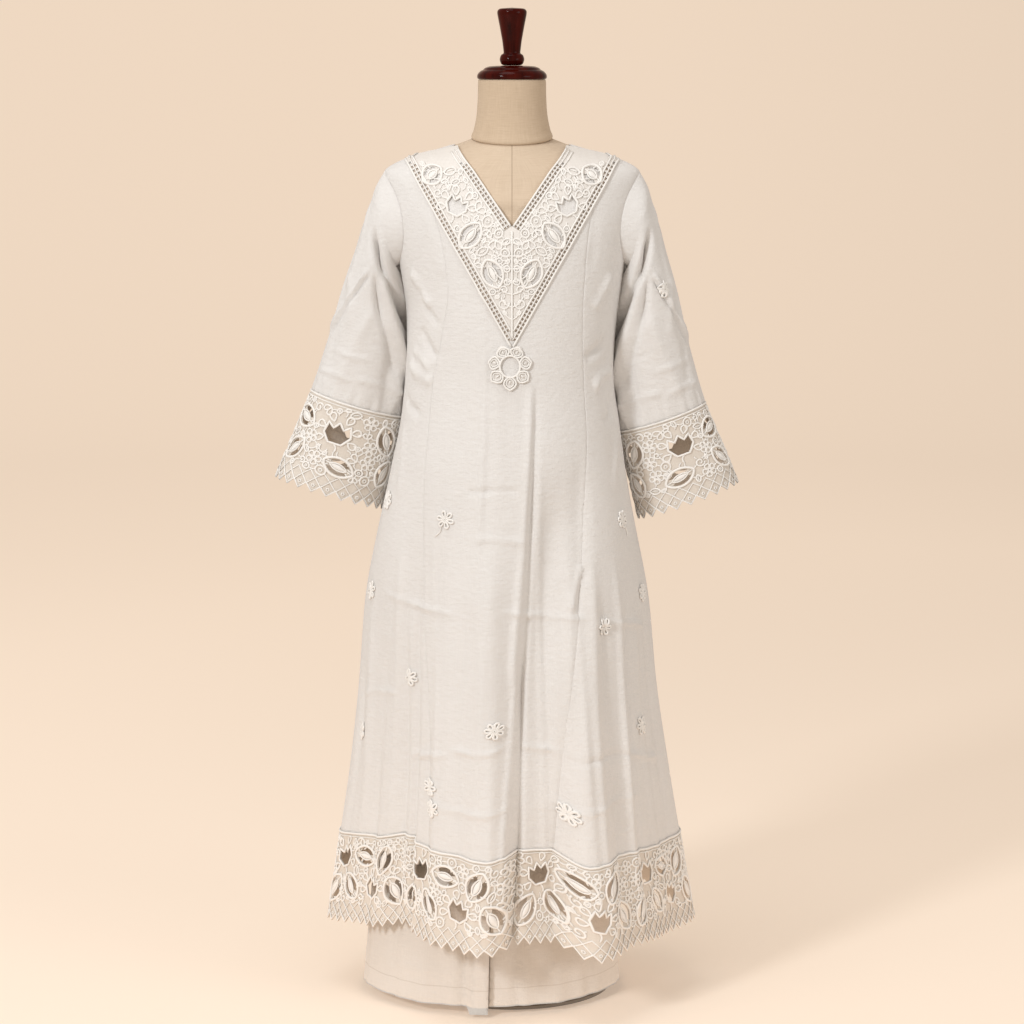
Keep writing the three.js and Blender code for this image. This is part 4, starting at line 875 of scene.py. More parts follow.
def eye_motif(long, wide):
    """Cord round the eye, a raised leaf with its vein inside, and drops beside it."""
    t = np.linspace(-1, 1, 9)
    leaf = np.stack([0 * t, t * long * 0.30], -1)
    swell = np.maximum(wide * 0.34 * (1 - t ** 2), 0.3)
    return [(almond(long + 5.5, wide + 5.0), True, 3.8, 3.0),
            (almond(long * 0.64, wide * 0.44, 18), True, 2.3, 2.4),
            (leaf, False, swell, 1.4 + 1.0 * (1 - t ** 2)),
            (bow((0, -long * 0.5), (0, -long * 0.28), 0), False, 2.0, 1.8),
            (bow((0, long * 0.28), (0, long * 0.5), 0), False, 2.0, 1.8)]


def tulip_motif(long, wide):
    """Cord round the opening, five petals round it and a short stem."""
    made = [(refine(tulip(long, wide, 1.6), 5.0), True, 3.4, 2.8)]
    made += [(moved(petal(13, 10, 12) + (0, wide * 0.5 + 1.5), turn=turn), True, 2.7, 2.3)
             for turn in (-118, -72, -28, 28, 72, 118)]
    made.append((bow((0, -long * 0.52), (3, -long * 0.52 - 12), 0.2), False, 2.6, 2.0))
    return made


FLOWER, DROPS, LEAF, SCROLL, RING = range(5)


def small_motif(radius, kind):
    """Fill motifs by kind: flower, paired drops, leaf, scroll or ring."""
    if kind == FLOWER:
        petals = petals_round(5, 2.4, radius - 2.4, radius * 0.80, 2.5, 2.1, points=10)
        return petals + [(ring(2.0, 7), True, 1.9, 2.1)]
    if kind == DROPS:
        drop = petal(radius * 1.6, radius * 1.05, 11)
        return [(moved(drop, 0, -radius * 0.8, turn), True, 2.6, 2.2) for turn in (-30, 32)]
    if kind == LEAF:
        vein = bow((0, -radius * 0.6), (0, radius * 0.6), 0.08, 4)
        return [(almond(radius * 2.0, radius * 1.2, 14), True, 2.7, 2.2), (vein, False, 1.8, 1.8)]
    if kind == SCROLL:
        return [(scroll(radius * 0.98), False, 2.7, 2.2)]
    return [(ring(radius * 0.86, 11, 1.12), True, 2.7, 2.2),
            (ring(radius * 0.30, 6), True, 2.0, 2.0)]


def kind_of_fill(radius, number):
    """Large discs hold flowers; smaller ones take turns."""
    if radius > 9:
        return FLOWER
    if radius > 5:
        return (DROPS, LEAF, SCROLL, RING)[number % 4]
    return (LEAF, RING)[number % 2]


# %% Filling a band between its large motifs
def scatter(low, high, taken, sizes, inside, seed):
    """Dart throwing: seeded random places, kept where no disc that is already there is met."""
    rng = np.random.default_rng(seed)
    discs = [tuple(disc) for disc in taken]
    found = []
    for radius, tries in sizes:
        for x, y in rng.uniform(low, high, (tries, 2)):
            if not inside(x, y, radius):
                continue
            place = np.array(discs)
            if np.all(np.hypot(place[:, 0] - x, place[:, 1] - y) > place[:, 2] + radius + 0.2):
                discs.append((x, y, radius))
                found.append((x, y, radius))
    return np.array(found), rng


def bars(discs, rng, reach=9.0):
    """Thin curved bars between neighbouring discs, from rim to rim."""
    discs = np.array(discs)
    gap = np.hypot(discs[:, None, 0] - discs[:, 0], discs[:, None, 1] - discs[:, 1])
    gap = gap - discs[:, None, 2] - discs[:, 2]
    made = []
    for i, j in zip(*np.nonzero((gap > 0) & (gap < reach))):
        if i < j:
            a, b = discs[i, :2], discs[j, :2]
            way = (b - a) / max(np.hypot(*(b - a)), 1e-6)
            start, end = a + way * (discs[i, 2] - 1.2), b - way * (discs[j, 2] - 1.2)
            made.append((bow(start, end, rng.uniform(-0.25, 0.25), 4), False, 2.1, 1.8))
    return made


def fill(found, rng):
    """A small motif in each disc, at a random turn."""
    made = []
    for number, (x, y, radius) in enumerate(found):
        motif = small_motif(radius, kind_of_fill(radius, number))
        made += moved_all(motif, x, y, rng.uniform(0, 360))
    return made


def eye_discs(x, y, long, wide, turn):
    """Three discs that cover a pointed oval."""
    along = moved([(0, -long * 0.27), (0, 0), (0, long * 0.27)], x, y, turn)
    return [(*along[0], wide * 0.42), (*along[1], wide * 0.5 + 3), (*along[2], wide * 0.42)]


def crescents(long, wide):
    """The two openings of an eye, one each side of its leaf."""
    t = np.linspace(-0.78, 0.78, 11)
    outer = np.stack([wide * (1 - t ** 2) ** 0.75 / 2, t * long / 2], -1)
    t = np.linspace(0.5, -0.5, 7)
    inner = np.stack([wide * 0.42 * (1 - t ** 2) / 2, t * long / 2], -1)
    shape = np.concatenate([outer, inner])
    return [shape, shape * (-1, 1)]


def large_motifs(rows):
    """Holes, cords and discs of a table of eyes and tulips."""
    holes, made, discs = [], [], []
    for kind, x, y, long, wide, turn in rows:
        if kind == "eye":
            holes += [moved(shape, x, y, turn) for shape in crescents(long, wide)]
            made += moved_all(eye_motif(long, wide), x, y, turn)
            discs += eye_discs(x, y, long, wide, turn)
        else:
            holes.append(moved(tulip(long, wide), x, y, turn))
            made += moved_all(tulip_motif(long, wide), x, y, turn)
            discs.append((x, y, wide * 0.5 + 11))
    return holes, made, discs


def zigzag(length, teeth, low, high):
    """Points of a zigzag: both its ends are high, and every second point is low."""
    x = np.linspace(0, length, 2 * teeth + 1)
    return np.stack([x, np.where(np.arange(2 * teeth + 1) % 2, low, high)], -1)


TOOTH = 11.0  # depth of the zigzag edge
BAND_GAP = 0.05  # between a band and the seam to the cloth above
BAND_FILL = [(10.5, 2), (7.6, 5), (5.4, 6), (3.8, 7)]  # disc's radius, tries for each mm of length


def lace_band(length, height, teeth, rows, seed):
    """Outline, holes and cords of a band: diamonds along its points, motifs, a cord on top."""
    holes, made, discs = large_motifs(rows)
    points = zigzag(length, teeth, 0.0, TOOTH)
    outline = np.concatenate([points, [(length, height), (0, height)]])
    x = np.linspace(0, length, teeth + 1)
    made += [(points + (0, 1.2), False, 3.0, 2.4),
             (zigzag(length, teeth, 2 * TOOTH + 0.4, TOOTH), False, 2.8, 2.3),
             (zigzag(length, teeth, 2 * TOOTH + 0.4, 3 * TOOTH - 1), False, 2.4, 2.1)]
    made += [(ring(1.9, 5, 1.1) + (middle, TOOTH), True, 1.9, 2.0)
             for middle in (x[:-1] + x[1:]) / 2]
    line = edge(np.linspace(0, length, max(8, int(length / 6))), height - 1.6)
    made += [(line, False, 3.4, 3.0), (line - (0, 4.6), False, 1.7, 1.8)]
    low_edge = 3 * TOOTH - 2

    def inside(x, y, radius):
        """Whether a disc is clear of the zigzags, the upper cord and the band's ends."""
        return low_edge + radius - 3 < y < height - 7 - radius + 2 and radius < x < length - radius

    sizes = [(radius, int(length * tries)) for radius, tries in BAND_FILL]
    found, rng = scatter((0, 0), (length, height), discs, sizes, inside, seed)
    made += fill(found, rng)
    made += bars(list(discs) + [tuple(disc) for disc in found], rng)
    return outline, holes, made


def placing(mm, start=0.0, low=0.0):
    """Carries flat millimetres to degrees from start and a height from low."""
    return lambda flat: (start + flat[:, 0] / mm, low + flat[:, 1])


def lace_half(name, surface, start, band, seed, facing=1):
    """Ground and cords of half a band, from start degrees on; band has what its halves share."""
    length = 180 * band["mm"]
    rows = [(kind, length * (part + along) / band["times"], up, long, wide, turn)
            for part in range(band["times"]) for kind, along, up, long, wide, turn in band["repeat"]]
    outline, holes, made = lace_band(length, band["height"] - BAND_GAP, band["teeth"], rows, seed)
    place = placing(band["mm"], start, band["low"])
    found, faces = cut(outline, holes, band["step"])
    region = np.stack(place(found), -1), faces
    ground = shell(f"{name}_ground", surface, region, GROUND, net, facing=facing,
                   flat=band["flat"])
    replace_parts(ground, name)
    cords(f"{name}_cords", made, surface, place, facing)


print("lace tools ready")

# %% Hem lace and cuffs, in halves
HEM_REPEAT = [  # kind, along the repeat, up from the edge, length, width, turn
    ("eye", 0.11, 50, 44, 28, -32), ("tulip", 0.23, 101, 30, 36, 12), ("eye", 0.36, 57, 40, 26, 38),
    ("eye", 0.5, 104, 40, 25, 78), ("tulip", 0.62, 58, 30, 30, -18), ("eye", 0.76, 100, 40, 27, -24),
    ("eye", 0.87, 52, 42, 27, 26)]
CUFF_REPEAT = [
    ("eye", 0.16, 104, 40, 26, 68), ("eye", 0.17, 54, 38, 24, -40), ("tulip", 0.45, 94, 30, 34, 0),
    ("eye", 0.52, 47, 36, 22, 74), ("eye", 0.79, 100, 40, 26, 24), ("eye", 0.84, 52, 36, 23, -22)]
HEM_BAND = {"mm": 4.5, "low": HEM, "height": LACE_TOP - HEM, "teeth": 44, "repeat": HEM_REPEAT,
            "times": 4, "step": 5.0, "flat": kurta_flat}
CUFF_BAND = {"mm": SLEEVE_MM, "low": 0.0, "height": CUFF, "teeth": 11, "repeat": CUFF_REPEAT,
             "times": 1, "step": 4.5, "flat": even_width(SLEEVE_MM)}
for half, start, seed in (("front", -90, 11), ("back", 90, 12)):
    lace_half(f"hem_lace_{half}", kurta, start, HEM_BAND, seed)
for side, name in ((-1, "left"), (1, "right")):
    for half, start, seed in (("front", 0, 21 + side), ("back", 180, 31 + side)):
        lace_half(f"cuff_{name}_{half}", sleeve_of(side), start, CUFF_BAND, seed, -side)

# %% [markdown]
# ## Yoke
# The yoke is a deep V of lace sewn on the front. Two rows of small square holes make a ladder
# along both of its edges, a vein runs down its middle, and the motifs are mirrored.

# %% Yoke outline, ladders and motifs
YOKE_OUTER = np.array([(9, 1001), (36, 1049), (64, 1098), (92, 1146), (119, 1192), (139, 1226),
                       (152, 1248)], float)
YOKE_GAPS = [  # kind, across, height, length, width, turn
    ("eye", 116, 1236, 26, 24, 52), ("tulip", 80, 1192, 26, 28, 26),
    ("eye", 60, 1150, 38, 24, 38), ("eye", 28, 1096, 38, 25, -24)]
NECK_LINE = np.concatenate([V_NECK, [(79.5, NECK_EDGE)]])
OUT_LINE = np.concatenate([[(0, 985)], YOKE_OUTER[1:], [(159, 1257)]])
HOLE_ROWS, HOLE_STEP, HOLE_SIZE = (4.2, 9.4), 6.3, 3.7  # the ladder of holes beside each edge
HOLES_IN, HOLES_TOP = 3.4, 1254  # no hole lies nearer the middle, or higher
FILL_LOW, FILL_TOP, FILL_EDGE = 1012, 1252, 12  # the small motifs keep within these
EDGE_CORDS = ((1.4, 3.0), (6.8, 1.8), (12.2, 2.9))  # offset from the edge, width
YOKE_GROUND = 1.2
YOKE_OUT = CLOTH / 2 + SEAM + 0.7  # its ground's middle over the panel's
YOKE_CORD_BASE = YOKE_OUT + 0.4


def walk(line, step, offset, side):
    """Points every step mm along a polyline, moved offset mm to one side, and their directions."""
    long = np.hypot(*np.diff(line, axis=0).T)
    at = np.concatenate([[0], np.cumsum(long)])
    s = np.arange(step / 2, at[-1], step)
    points = np.stack([np.interp(s, at, line[:, 0]), np.interp(s, at, line[:, 1])], -1)
    way = np.gradient(points, axis=0)
    way /= np.hypot(*way.T)[:, None]
    return points + side * offset * np.stack([-way[:, 1], way[:, 0]], -1), way


def squares(points, way, size):
    """A small square hole at each point, turned along the line."""
    corner = np.array([(-1, -1), (1, -1), (1, 1), (-1, 1)]) * size / 2
    across = np.stack([-way[:, 1], way[:, 0]], -1)
    return [p + corner[:, :1] * w + corner[:, 1:] * a for p, w, a in zip(points, way, across)]


def mirror(shape, side):
    return np.asarray(shape) * (side, 1)


def to_front(flat):
    """Carries points of the front view to angle and height on the kurta."""
    return angle_at(flat[:, 0], flat[:, 1]), flat[:, 1]


def clear_of(point, line):
    """Distance from a point to a polyline."""
    a, b = line[:-1], line[1:]
    t = np.clip(((point - a) * (b - a)).sum(1) / ((b - a) ** 2).sum(1), 0, 1)[:, None]
    return np.hypot(*(a + (b - a) * t - point).T).min()


yoke_holes, yoke_made, taken = [], [], []
for side in (-1, 1):
    rows = [(kind, side * x, y, long, wide, side * turn)
            for kind, x, y, long, wide, turn in YOKE_GAPS]
    holes, made, discs = large_motifs(rows)
    yoke_holes += holes
    taken += discs
    yoke_made += made
    for line, inwards in ((OUT_LINE, 1), (NECK_LINE, -1)):
        for offset in HOLE_ROWS:
            points, way = walk(line, HOLE_STEP, offset, inwards)
            keep = (points[:, 0] > HOLES_IN) & (points[:, 1] < HOLES_TOP)
            found = squares(points[keep], way[keep], HOLE_SIZE)
            yoke_holes += [mirror(shape, side) for shape in found]
        for offset, width in EDGE_CORDS:
            points, way = walk(line, 4.0, offset, inwards)
            keep = points[:, 0] > 0.4
            yoke_made.append((mirror(points[keep], side), False, width, 2.0))
print("yoke holes", len(yoke_holes))

# %% Yoke ground and cords
shoulder = np.array([(152, 1261), (128, 1267), (100, 1273.5), (79.5, NECK_EDGE)])
right_edge = np.concatenate([YOKE_OUTER, [(157.5, 1257.3)], shoulder])
neck_down = V_NECK[::-1]
outline = np.concatenate([right_edge, neck_down, neck_down[::-1][1:] * (-1, 1),
                          right_edge[::-1] * (-1, 1)])


def yoke_piece(name, outline, holes, step):
    """Ground of the yoke or of its flower, cut and laid on the front."""
    found, faces = cut(outline, holes, step)
    region = np.stack(to_front(found), -1), faces
    piece = shell(f"{name}_ground", kurta, region, YOKE_GROUND, yoke_net, out=YOKE_OUT,
                  flat=kurta_flat)
    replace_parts(piece, name)


VEIN_TOP, VEIN_LOW = 1156, 1003
RIB_LEVELS, RIB_RISE, RIB_SAG = np.linspace(1030, 1140, 7), 14, 0.14
yoke_piece("yoke", outline, yoke_holes, 4.6)
yoke_made.append((edge(0.0, np.linspace(VEIN_TOP, VEIN_LOW, 34)), False, 3.2, 2.6))
for level in RIB_LEVELS:
    reach = np.interp(level, [1001, 1163], [4, 44])
    for side in (-1, 1):
        rib = bow((0, level), (side * reach, level + RIB_RISE), -RIB_SAG * side, 9)
        yoke_made.append((rib, False, 2.4, 2.2))


def in_yoke(x, y, radius):
    """Whether a disc lies in one half of the yoke, clear of its edges and its middle."""
    point = np.array([abs(x), y])
    if y > FILL_TOP or y < FILL_LOW or radius > abs(x) - 1:
        return False
    if min(clear_of(point, OUT_LINE), clear_of(point, NECK_LINE)) < radius + FILL_EDGE:
        return False
    inner = np.interp(y, NECK_LINE[:, 1], NECK_LINE[:, 0]) if y > V_NECK[0, 1] else -1
    return np.interp(y, OUT_LINE[:, 1], OUT_LINE[:, 0]) > abs(x) > inner


YOKE_FILL = ((9.0, 900), (6.8, 1800), (4.8, 2400), (3.5, 3000))  # disc's radius, tries
right_discs = [disc for disc in taken if disc[0] > 0]
found, rng = scatter((2, 1005), (158, 1255), right_discs, YOKE_FILL, in_yoke, 5)
right_side = fill(found, rng) + bars(right_discs + [tuple(disc) for disc in found], rng, 10)
for side in (-1, 1):
    yoke_made += [(mirror(points, side), *rest) for points, *rest in right_side]
cords("yoke_cords", yoke_made, kurta, to_front, base=YOKE_CORD_BASE)

# %% Flower at the yoke's tip: seven looped petals round an open middle
FLOWER_PLACE = (-3.0, 962.0)
PETAL_LENGTHS = (14.5, 16, 17.5, 19, 17.5, 16, 14.5)
PETALS_OUT, PETALS_WAVE, OPENING_WIDE, OPENING_TALL = 29.5, 3.5, 13, 14
turn = np.linspace(0, 2 * np.pi, 113)[:-1]
reach = PETALS_OUT + PETALS_WAVE * np.cos(len(PETAL_LENGTHS) * turn - np.pi)
rim = edge(reach * np.sin(turn), reach * np.cos(turn)) + FLOWER_PLACE
opening = edge(OPENING_WIDE * np.sin(turn[::3]), OPENING_TALL * np.cos(turn[::3])) + FLOWER_PLACE
yoke_piece("yoke_flower", rim, [opening], 3.4)
POINTED = np.array([(0.16, 0.0), (0.42, 0.26), (0.5, 0.5), (0.36, 0.76)])


def pointed(long, wide, start, turn):
    """Shield-shaped petal from start outwards: four corners a side and a tip."""
    right = POINTED * (wide, long)
    shape = np.concatenate([right, [(0, long)], right[::-1] * (-1, 1)]) + (0, start)
    return moved(refine(shape, 3.5), turn=turn)


made = [(ring(14.6, 32, 1.08), True, 3.2, 3.0)]
for number, long in enumerate(PETAL_LENGTHS):
    turn = 180 / len(PETAL_LENGTHS) + 360 * number / len(PETAL_LENGTHS)
    made += [(pointed(long, 18.5, 15.5, turn), True, 3.0, 3.2),
             (pointed(long * 0.66, 11.5, 18, turn), True, 2.1, 2.5),
             (moved([(0, 20), (0, 22.5), (0, 25)], turn=turn), False, 2.4, 2.2)]
cords("yoke_flower_cords", moved_all(made, *FLOWER_PLACE), kurta, to_front, base=YOKE_CORD_BASE)

# %% [markdown]
# ## Scattered flowers
# Small raised flowers of six or seven petals are embroidered over the skirt, two in front and two
# behind with a stalk, and one on the right sleeve. Each petal is a thick open loop.

# %% Embroidered flowers
def embroidered(radius, first, petals=7):
    """Looped petals of thick thread round a knot; their insides stay open."""
    loops = petals_round(petals, 2.6, radius - 3.8, radius * 0.40, 3.3, 3.4, first)
    return loops + [(ring(1.6, 7), True, 2.2, 3.6)]


FLOWERS = [  # angle, height
    (-69.8, 755), (-28.3, 738), (60.6, 730), (-76.3, 617), (75.3, 614), (41.5, 578), (-45.7, 493),
    (-77.0, 400), (-6.4, 432), (63.8, 422), (-31.4, 332), (-29.5, 302), (21.3, 309), (110, 740),
    (152, 700), (128, 590), (176, 610), (214, 720), (240, 600), (106, 440), (145, 470), (186, 430),
    (222, 480), (254, 420), (130, 318), (168, 300), (205, 325), (246, 300)]
STALKS = {1: 150, 2: 205, 14: 160, 17: 200}  # flower's number from 0, the way that its stalk turns
SKIRT_MM = 4.0  # flat mm for a degree, used to lay cords on the skirt
FLOWER_BASE = CLOTH / 2 - 0.15  # the thread starts just inside the cloth's face
for name, low, high in (("front", -90, 90), ("back", 90, 270)):
    made = []
    for number, (angle, height) in enumerate(FLOWERS):
        if low < angle < high:
            mm = float(kurta_mm_per_degree(height))
            paths = embroidered(14.4 - (number % 3) * 0.5, 17.0 * number, 7 - number % 2)
            if number in STALKS:
                start = moved([(0, 12)], turn=STALKS[number])[0]
                paths += [(bow(start, start * 2.3, 0.14), False, 2.2, 2.2)]
            made += [(points * (SKIRT_MM / mm, 1) + (angle * SKIRT_MM, height), *rest)
                     for points, *rest in paths]
    cords(f"flowers_{name}", made, kurta, placing(SKIRT_MM), base=FLOWER_BASE)
made = moved_all(embroidered(12.5, 10), 62, 318)
cords("flower_sleeve_right", made, sleeve_of(1), placing(SLEEVE_MM), facing=-1, base=FLOWER_BASE)

# %% [markdown]
# ## Dress form
# The form is a padded torso under linen, with a neck of its own, a turned mahogany cap and a
# finial. The torso follows the kurta's inside at the shoulders, where the suit hangs, and is
# slimmer below, so that the cloth hangs free there.

# %% Torso and neck
REST_LOW, REST_STEP = 1185.0, 32.0  # the form meets the suit from here up
REST_GAP, ARMHOLE_INSET = 0.4, 4.0
TORSO_MM, BAND_MM = 2.4, 2.2  # mm a degree round the torso and the waistband
TORSO = np.array([  # height, half-width, front, back
    (700, 148, 112, 118), (760, 152, 116, 126), (805, 152, 114, 130), (865, 144, 108, 120),
    (930, 131, 100, 102), (960, 127, 98, 94), (1000, 127, 100, 90), (1045, 134, 108, 92),
    (1102, 152, 122, 97), (1145, 164, 115, 99), (1185, 175, 102, 97)], float)


def torso(angle, height):
    """Own oval below, and above REST_LOW a soft step to the kurta's inside."""
    angle, height = np.broadcast_arrays(np.asarray(angle, float), np.asarray(height, float))
    side, front, back = curve_at(TORSO, np.minimum(height, REST_LOW))
    x, y, s, _ = oval(angle, side, side, front, back, 2.1)
    own = np.stack([x, y, height], -1)
    high = np.maximum(height, REST_LOW - 1)
    inset = ARMHOLE_INSET * smooth((np.abs(s) - 0.8) / 0.2) * np.clip((1255 - high) / 30, 0, 1)
    inside = lay(kurta, angle, high, -(CLOTH / 2 + SEAM + REST_GAP) - inset)
    share = smooth((height - REST_LOW) / REST_STEP)[..., None]
    return own + (inside - own) * share


def grid(u, v):
    """Triangles over a grid of points, wrapping round in u."""
    i, j = np.meshgrid(np.arange(u), np.arange(v - 1), indexing="ij")
    a, b = i * v + j, ((i + 1) % u) * v + j
    both = np.concatenate([np.stack([a, b, b + 1], -1), np.stack([a, b + 1, a + 1], -1)])
    return both.reshape(-1, 3)


def closed_grid(name, points, material, uv=None):
    """A solid through rings of points (u round, v up), closed by a fan at each end."""
    u, v = points.shape[:2]
    ends = np.stack([points[:, 0].mean(0), points[:, -1].mean(0)])
    i = np.arange(u)
    low = np.stack([np.full(u, u * v), ((i + 1) % u) * v, i * v], -1)
    high = np.stack([np.full(u, u * v + 1), i * v + v - 1, ((i + 1) % u) * v + v - 1], -1)
    faces = np.concatenate([grid(u, v), low, high])
    if uv is not None:
        uv = np.concatenate([uv.reshape(-1, 2), uv[0, :1], uv[0, -1:]])
    return put_mesh(name, np.concatenate([points.reshape(-1, 3), ends]), faces, material, uv)


heights = np.concatenate([np.linspace(TORSO[0, 0], REST_LOW, 60),
                          np.linspace(REST_LOW + 5, NECK_SEAM, 40)])
turn, rows = np.meshgrid(np.linspace(-90, 270, 145)[:-1], heights, indexing="ij")
points = torso(turn, rows)
points[:, -1] = kurta(turn[:, -1], NECK_SEAM) * (0.97, 0.97, 1)
form_torso = closed_grid("form_torso_linen", points, linen, edge(turn * TORSO_MM, rows))
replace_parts(form_torso, "form_torso")

NECK = np.array([  # up from the neck's seam, radius, share of the seam's tilt
    (0, 56.5, 1), (1.4, 59.6, 1), (5, 60.0, 0.94), (12.5, 56.9, 0.75), (34.5, 52.5, 0.3),
    (62.5, 50.6, 0), (84, 50.2, 0), (86.9, 49.2, 0)], float)
up = np.concatenate([np.linspace(0, 6, 9), np.linspace(8, NECK[-1, 0], 36)])
radius, tilt = curve_at(NECK, up)
turn = np.linspace(-90, 270, 97)[:-1, None]
points = np.stack(np.broadcast_arrays(
    radius * np.sin(np.radians(turn)), -radius * np.cos(np.radians(turn)),
    NECK_SEAM + SEAM + up - NECK_TILT * tilt * np.cos(np.radians(turn))), -1)
form_neck = closed_grid("form_neck_linen", points, neck_linen_painted_shade, edge(turn, up))
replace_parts(form_neck, "form_neck")
print("form made")

# %% [markdown]
# ## Turned and painted parts
# The cap and the finial are turned wood under a deep gloss, and the stand is a painted steel
# pole in a round foot. Each is a profile carried round the axis. The profiles follow the solids,
# with rounder steps.

# %% Wood and paint
def two_tone(tree, factor, low, high):
    """Colour ramp between two colours."""
    ramp = node(tree, "ShaderNodeValToRGB", Fac=factor)
    for element, color in zip(ramp.color_ramp.elements, (low, high)):
        element.color = (*color, 1)
    return ramp


wood, tree, shader = new_material("mahogany", Roughness=0.12, Coat_Weight=0.06,
                                  Coat_Roughness=0.03, Specular_IOR_Level=0.05)
at = object_place(tree)
streaks = noise(tree, at, 90, 5, 0.6, (1, 1, 0.09))
ramp = two_tone(tree, streaks, (0.016, 0.0012, 0.0008), (0.070, 0.0058, 0.003))
ramp.color_ramp.elements[0].position, ramp.color_ramp.elements[1].position = 0.3, 0.75
tree.links.new(ramp.outputs[0], shader.inputs["Base Color"])

paint, tree, shader = new_material("stand_paint", Metallic=0.4)
at = object_place(tree)
speck = noise(tree, at, 400, 3, 0.6)
ramp = two_tone(tree, noise(tree, at, 14, 4, 0.5), (0.22, 0.19, 0.16), (0.30, 0.26, 0.22))
tree.links.new(ramp.outputs[0], shader.inputs["Base Color"])
tree.links.new(value_math(tree, "MULTIPLY_ADD", speck, 0.2, 0.3), shader.inputs["Roughness"])
relief = node(tree, "ShaderNodeBump", {"Strength": 0.4, "Distance": 0.0003}, Height=speck)
tree.links.new(relief.outputs[0], shader.inputs["Normal"])
print("finishes:", wood.name, paint.name)

# %% Turned parts
def turned(r, z, around):
    """Rings of points through a profile of radii and heights."""
    a = np.linspace(0, 2 * np.pi, around, endpoint=False)[:, None]
    return np.stack(np.broadcast_arrays(r * np.sin(a), -r * np.cos(a), z + 0 * a), -1)


def lathe(name, profile, material, replaced):
    """Profile (radius, height) carried round the axis; its ends lie on the axis."""
    r, z = profile.T
    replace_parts(closed_grid(name, turned(r, z, 96), material), replaced)


def rounded(corners, radius, steps=5):
    """Profile with each corner replaced by a quadratic arc that starts radius before it."""
    corners = np.asarray(corners, float)
    before = corners[:-2] - corners[1:-1]
    after = corners[2:] - corners[1:-1]
    size_b, size_a = np.hypot(*before.T), np.hypot(*after.T)
    cut_b, cut_a = np.minimum(radius, size_b * 0.45), np.minimum(radius, size_a * 0.45)
    start = corners[1:-1] + before * (cut_b / size_b)[:, None]
    end = corners[1:-1] + after * (cut_a / size_a)[:, None]
    t = np.linspace(0, 1, steps)[None, :, None]
    arc = (start[:, None] * (1 - t) ** 2 + 2 * corners[1:-1, None] * t * (1 - t)
           + end[:, None] * t ** 2)
    return np.concatenate([corners[:1], arc.reshape(-1, 2), corners[-1:]])


AXIS = 0.01  # radius of a profile's ends
CAP, PEG = 1375.0, 1395.2  # heights of the cap's and the finial's feet
POLE, POLE_LOW, POLE_TOP = 16, 8.3, 699.7  # the pole's radius and its ends
cap = [(AXIS, CAP), (50.5, CAP), (52, CAP + 3), (51.2, CAP + 7.5), (47, CAP + 12),
       (42.5, CAP + 14), (40.5, CAP + 16.5), (34, CAP + 19), (20, CAP + 20), (AXIS, CAP + 20)]
peg = [(AXIS, PEG), (12.5, PEG), (16.2, PEG + 1.8), (18.6, PEG + 8.5), (16.6, PEG + 15.4),
       (12.6, PEG + 17.6), (12.4, PEG + 19.5), (14.4, PEG + 36), (18.4, PEG + 58),
       (21.8, PEG + 75), (21.9, PEG + 79.5), (18.8, PEG + 83), (AXIS, PEG + 84.6)]
pole = [(AXIS, POLE_LOW), (POLE, POLE_LOW), (POLE, POLE_TOP), (AXIS, POLE_TOP)]
foot = [(AXIS, 0), (149.5, 0), (150, 1), (150, 5), (146, 8), (AXIS, 8)]
lathe("neck_cap_wood", rounded(cap, 2.4), wood, "neck_cap")
lathe("finial_wood", rounded(peg, 2.6), wood, "finial")
lathe("stand_pole_steel", rounded(pole, 1.0), paint, "stand_pole")
lathe("stand_base_steel", rounded(foot, 1.2), paint, "stand_base")
print("turned parts made")

# %% [markdown]
# ## Trousers
# Wide trousers hang under the kurta. Each leg is a tube with a flat inner side, and at the front
# the left leg keeps a narrow fold that hangs a little lower. A hem is stitched 28 mm up.

# %% Trouser legs
TROUSERS = np.array([  # height, parting line, left end, right end, front, back
    (3, -35, -227, 164, 179, 179), (110, -33, -217, 157, 168, 169), (240, -31, -206, 151, 159, 160),
    (420, -27, -191, 149, 149, 152), (640, -22, -172, 157, 138, 148), (760, -10, -164, 161, 130, 142),
    (850, -3, -155, 155, 119, 132)], float)
LEG_CREASES = [  # from (turn, height) to (turn, height), width and depth
    (30, 420, 33, -60, 12, 3.2), (52, 420, 50, -60, 10, -2.8), (68, 420, 71, -60, 11, 2.6),
    (22, 300, 20, -60, 8, -1.8), (95, 420, 92, -60, 12, -2.4), (120, 420, 122, -60, 12, 3.0),
    (143, 420, 146, -60, 12, -2.6), (162, 420, 160, -60, 10, 2.4), (12, 62, 90, 58, 2.5, 0.8),
    (11.6, 420, 11.6, -80, 5.5, -3.6), (41, 300, 43, -60, 6, 1.4), (83, 340, 80, -60, 8, 1.6)]
LEG_LOW, LEG_TOP, CROTCH, WAIST, BAND_TOP = 3.0, 850.0, 640.0, 930.0, 960.0
LEG_HEM, STITCHES, LEG_MM = 13.0, 41.0, 3.2  # heights, and mm a degree round the leg
LEG_GAP = 0.9  # between a leg and the parting line
FOLD_TURN, FOLD_OUT, FOLD_TOP, FOLD_HEM = 9.5, 13.0, 420.0, 5.0  # the left leg's fold


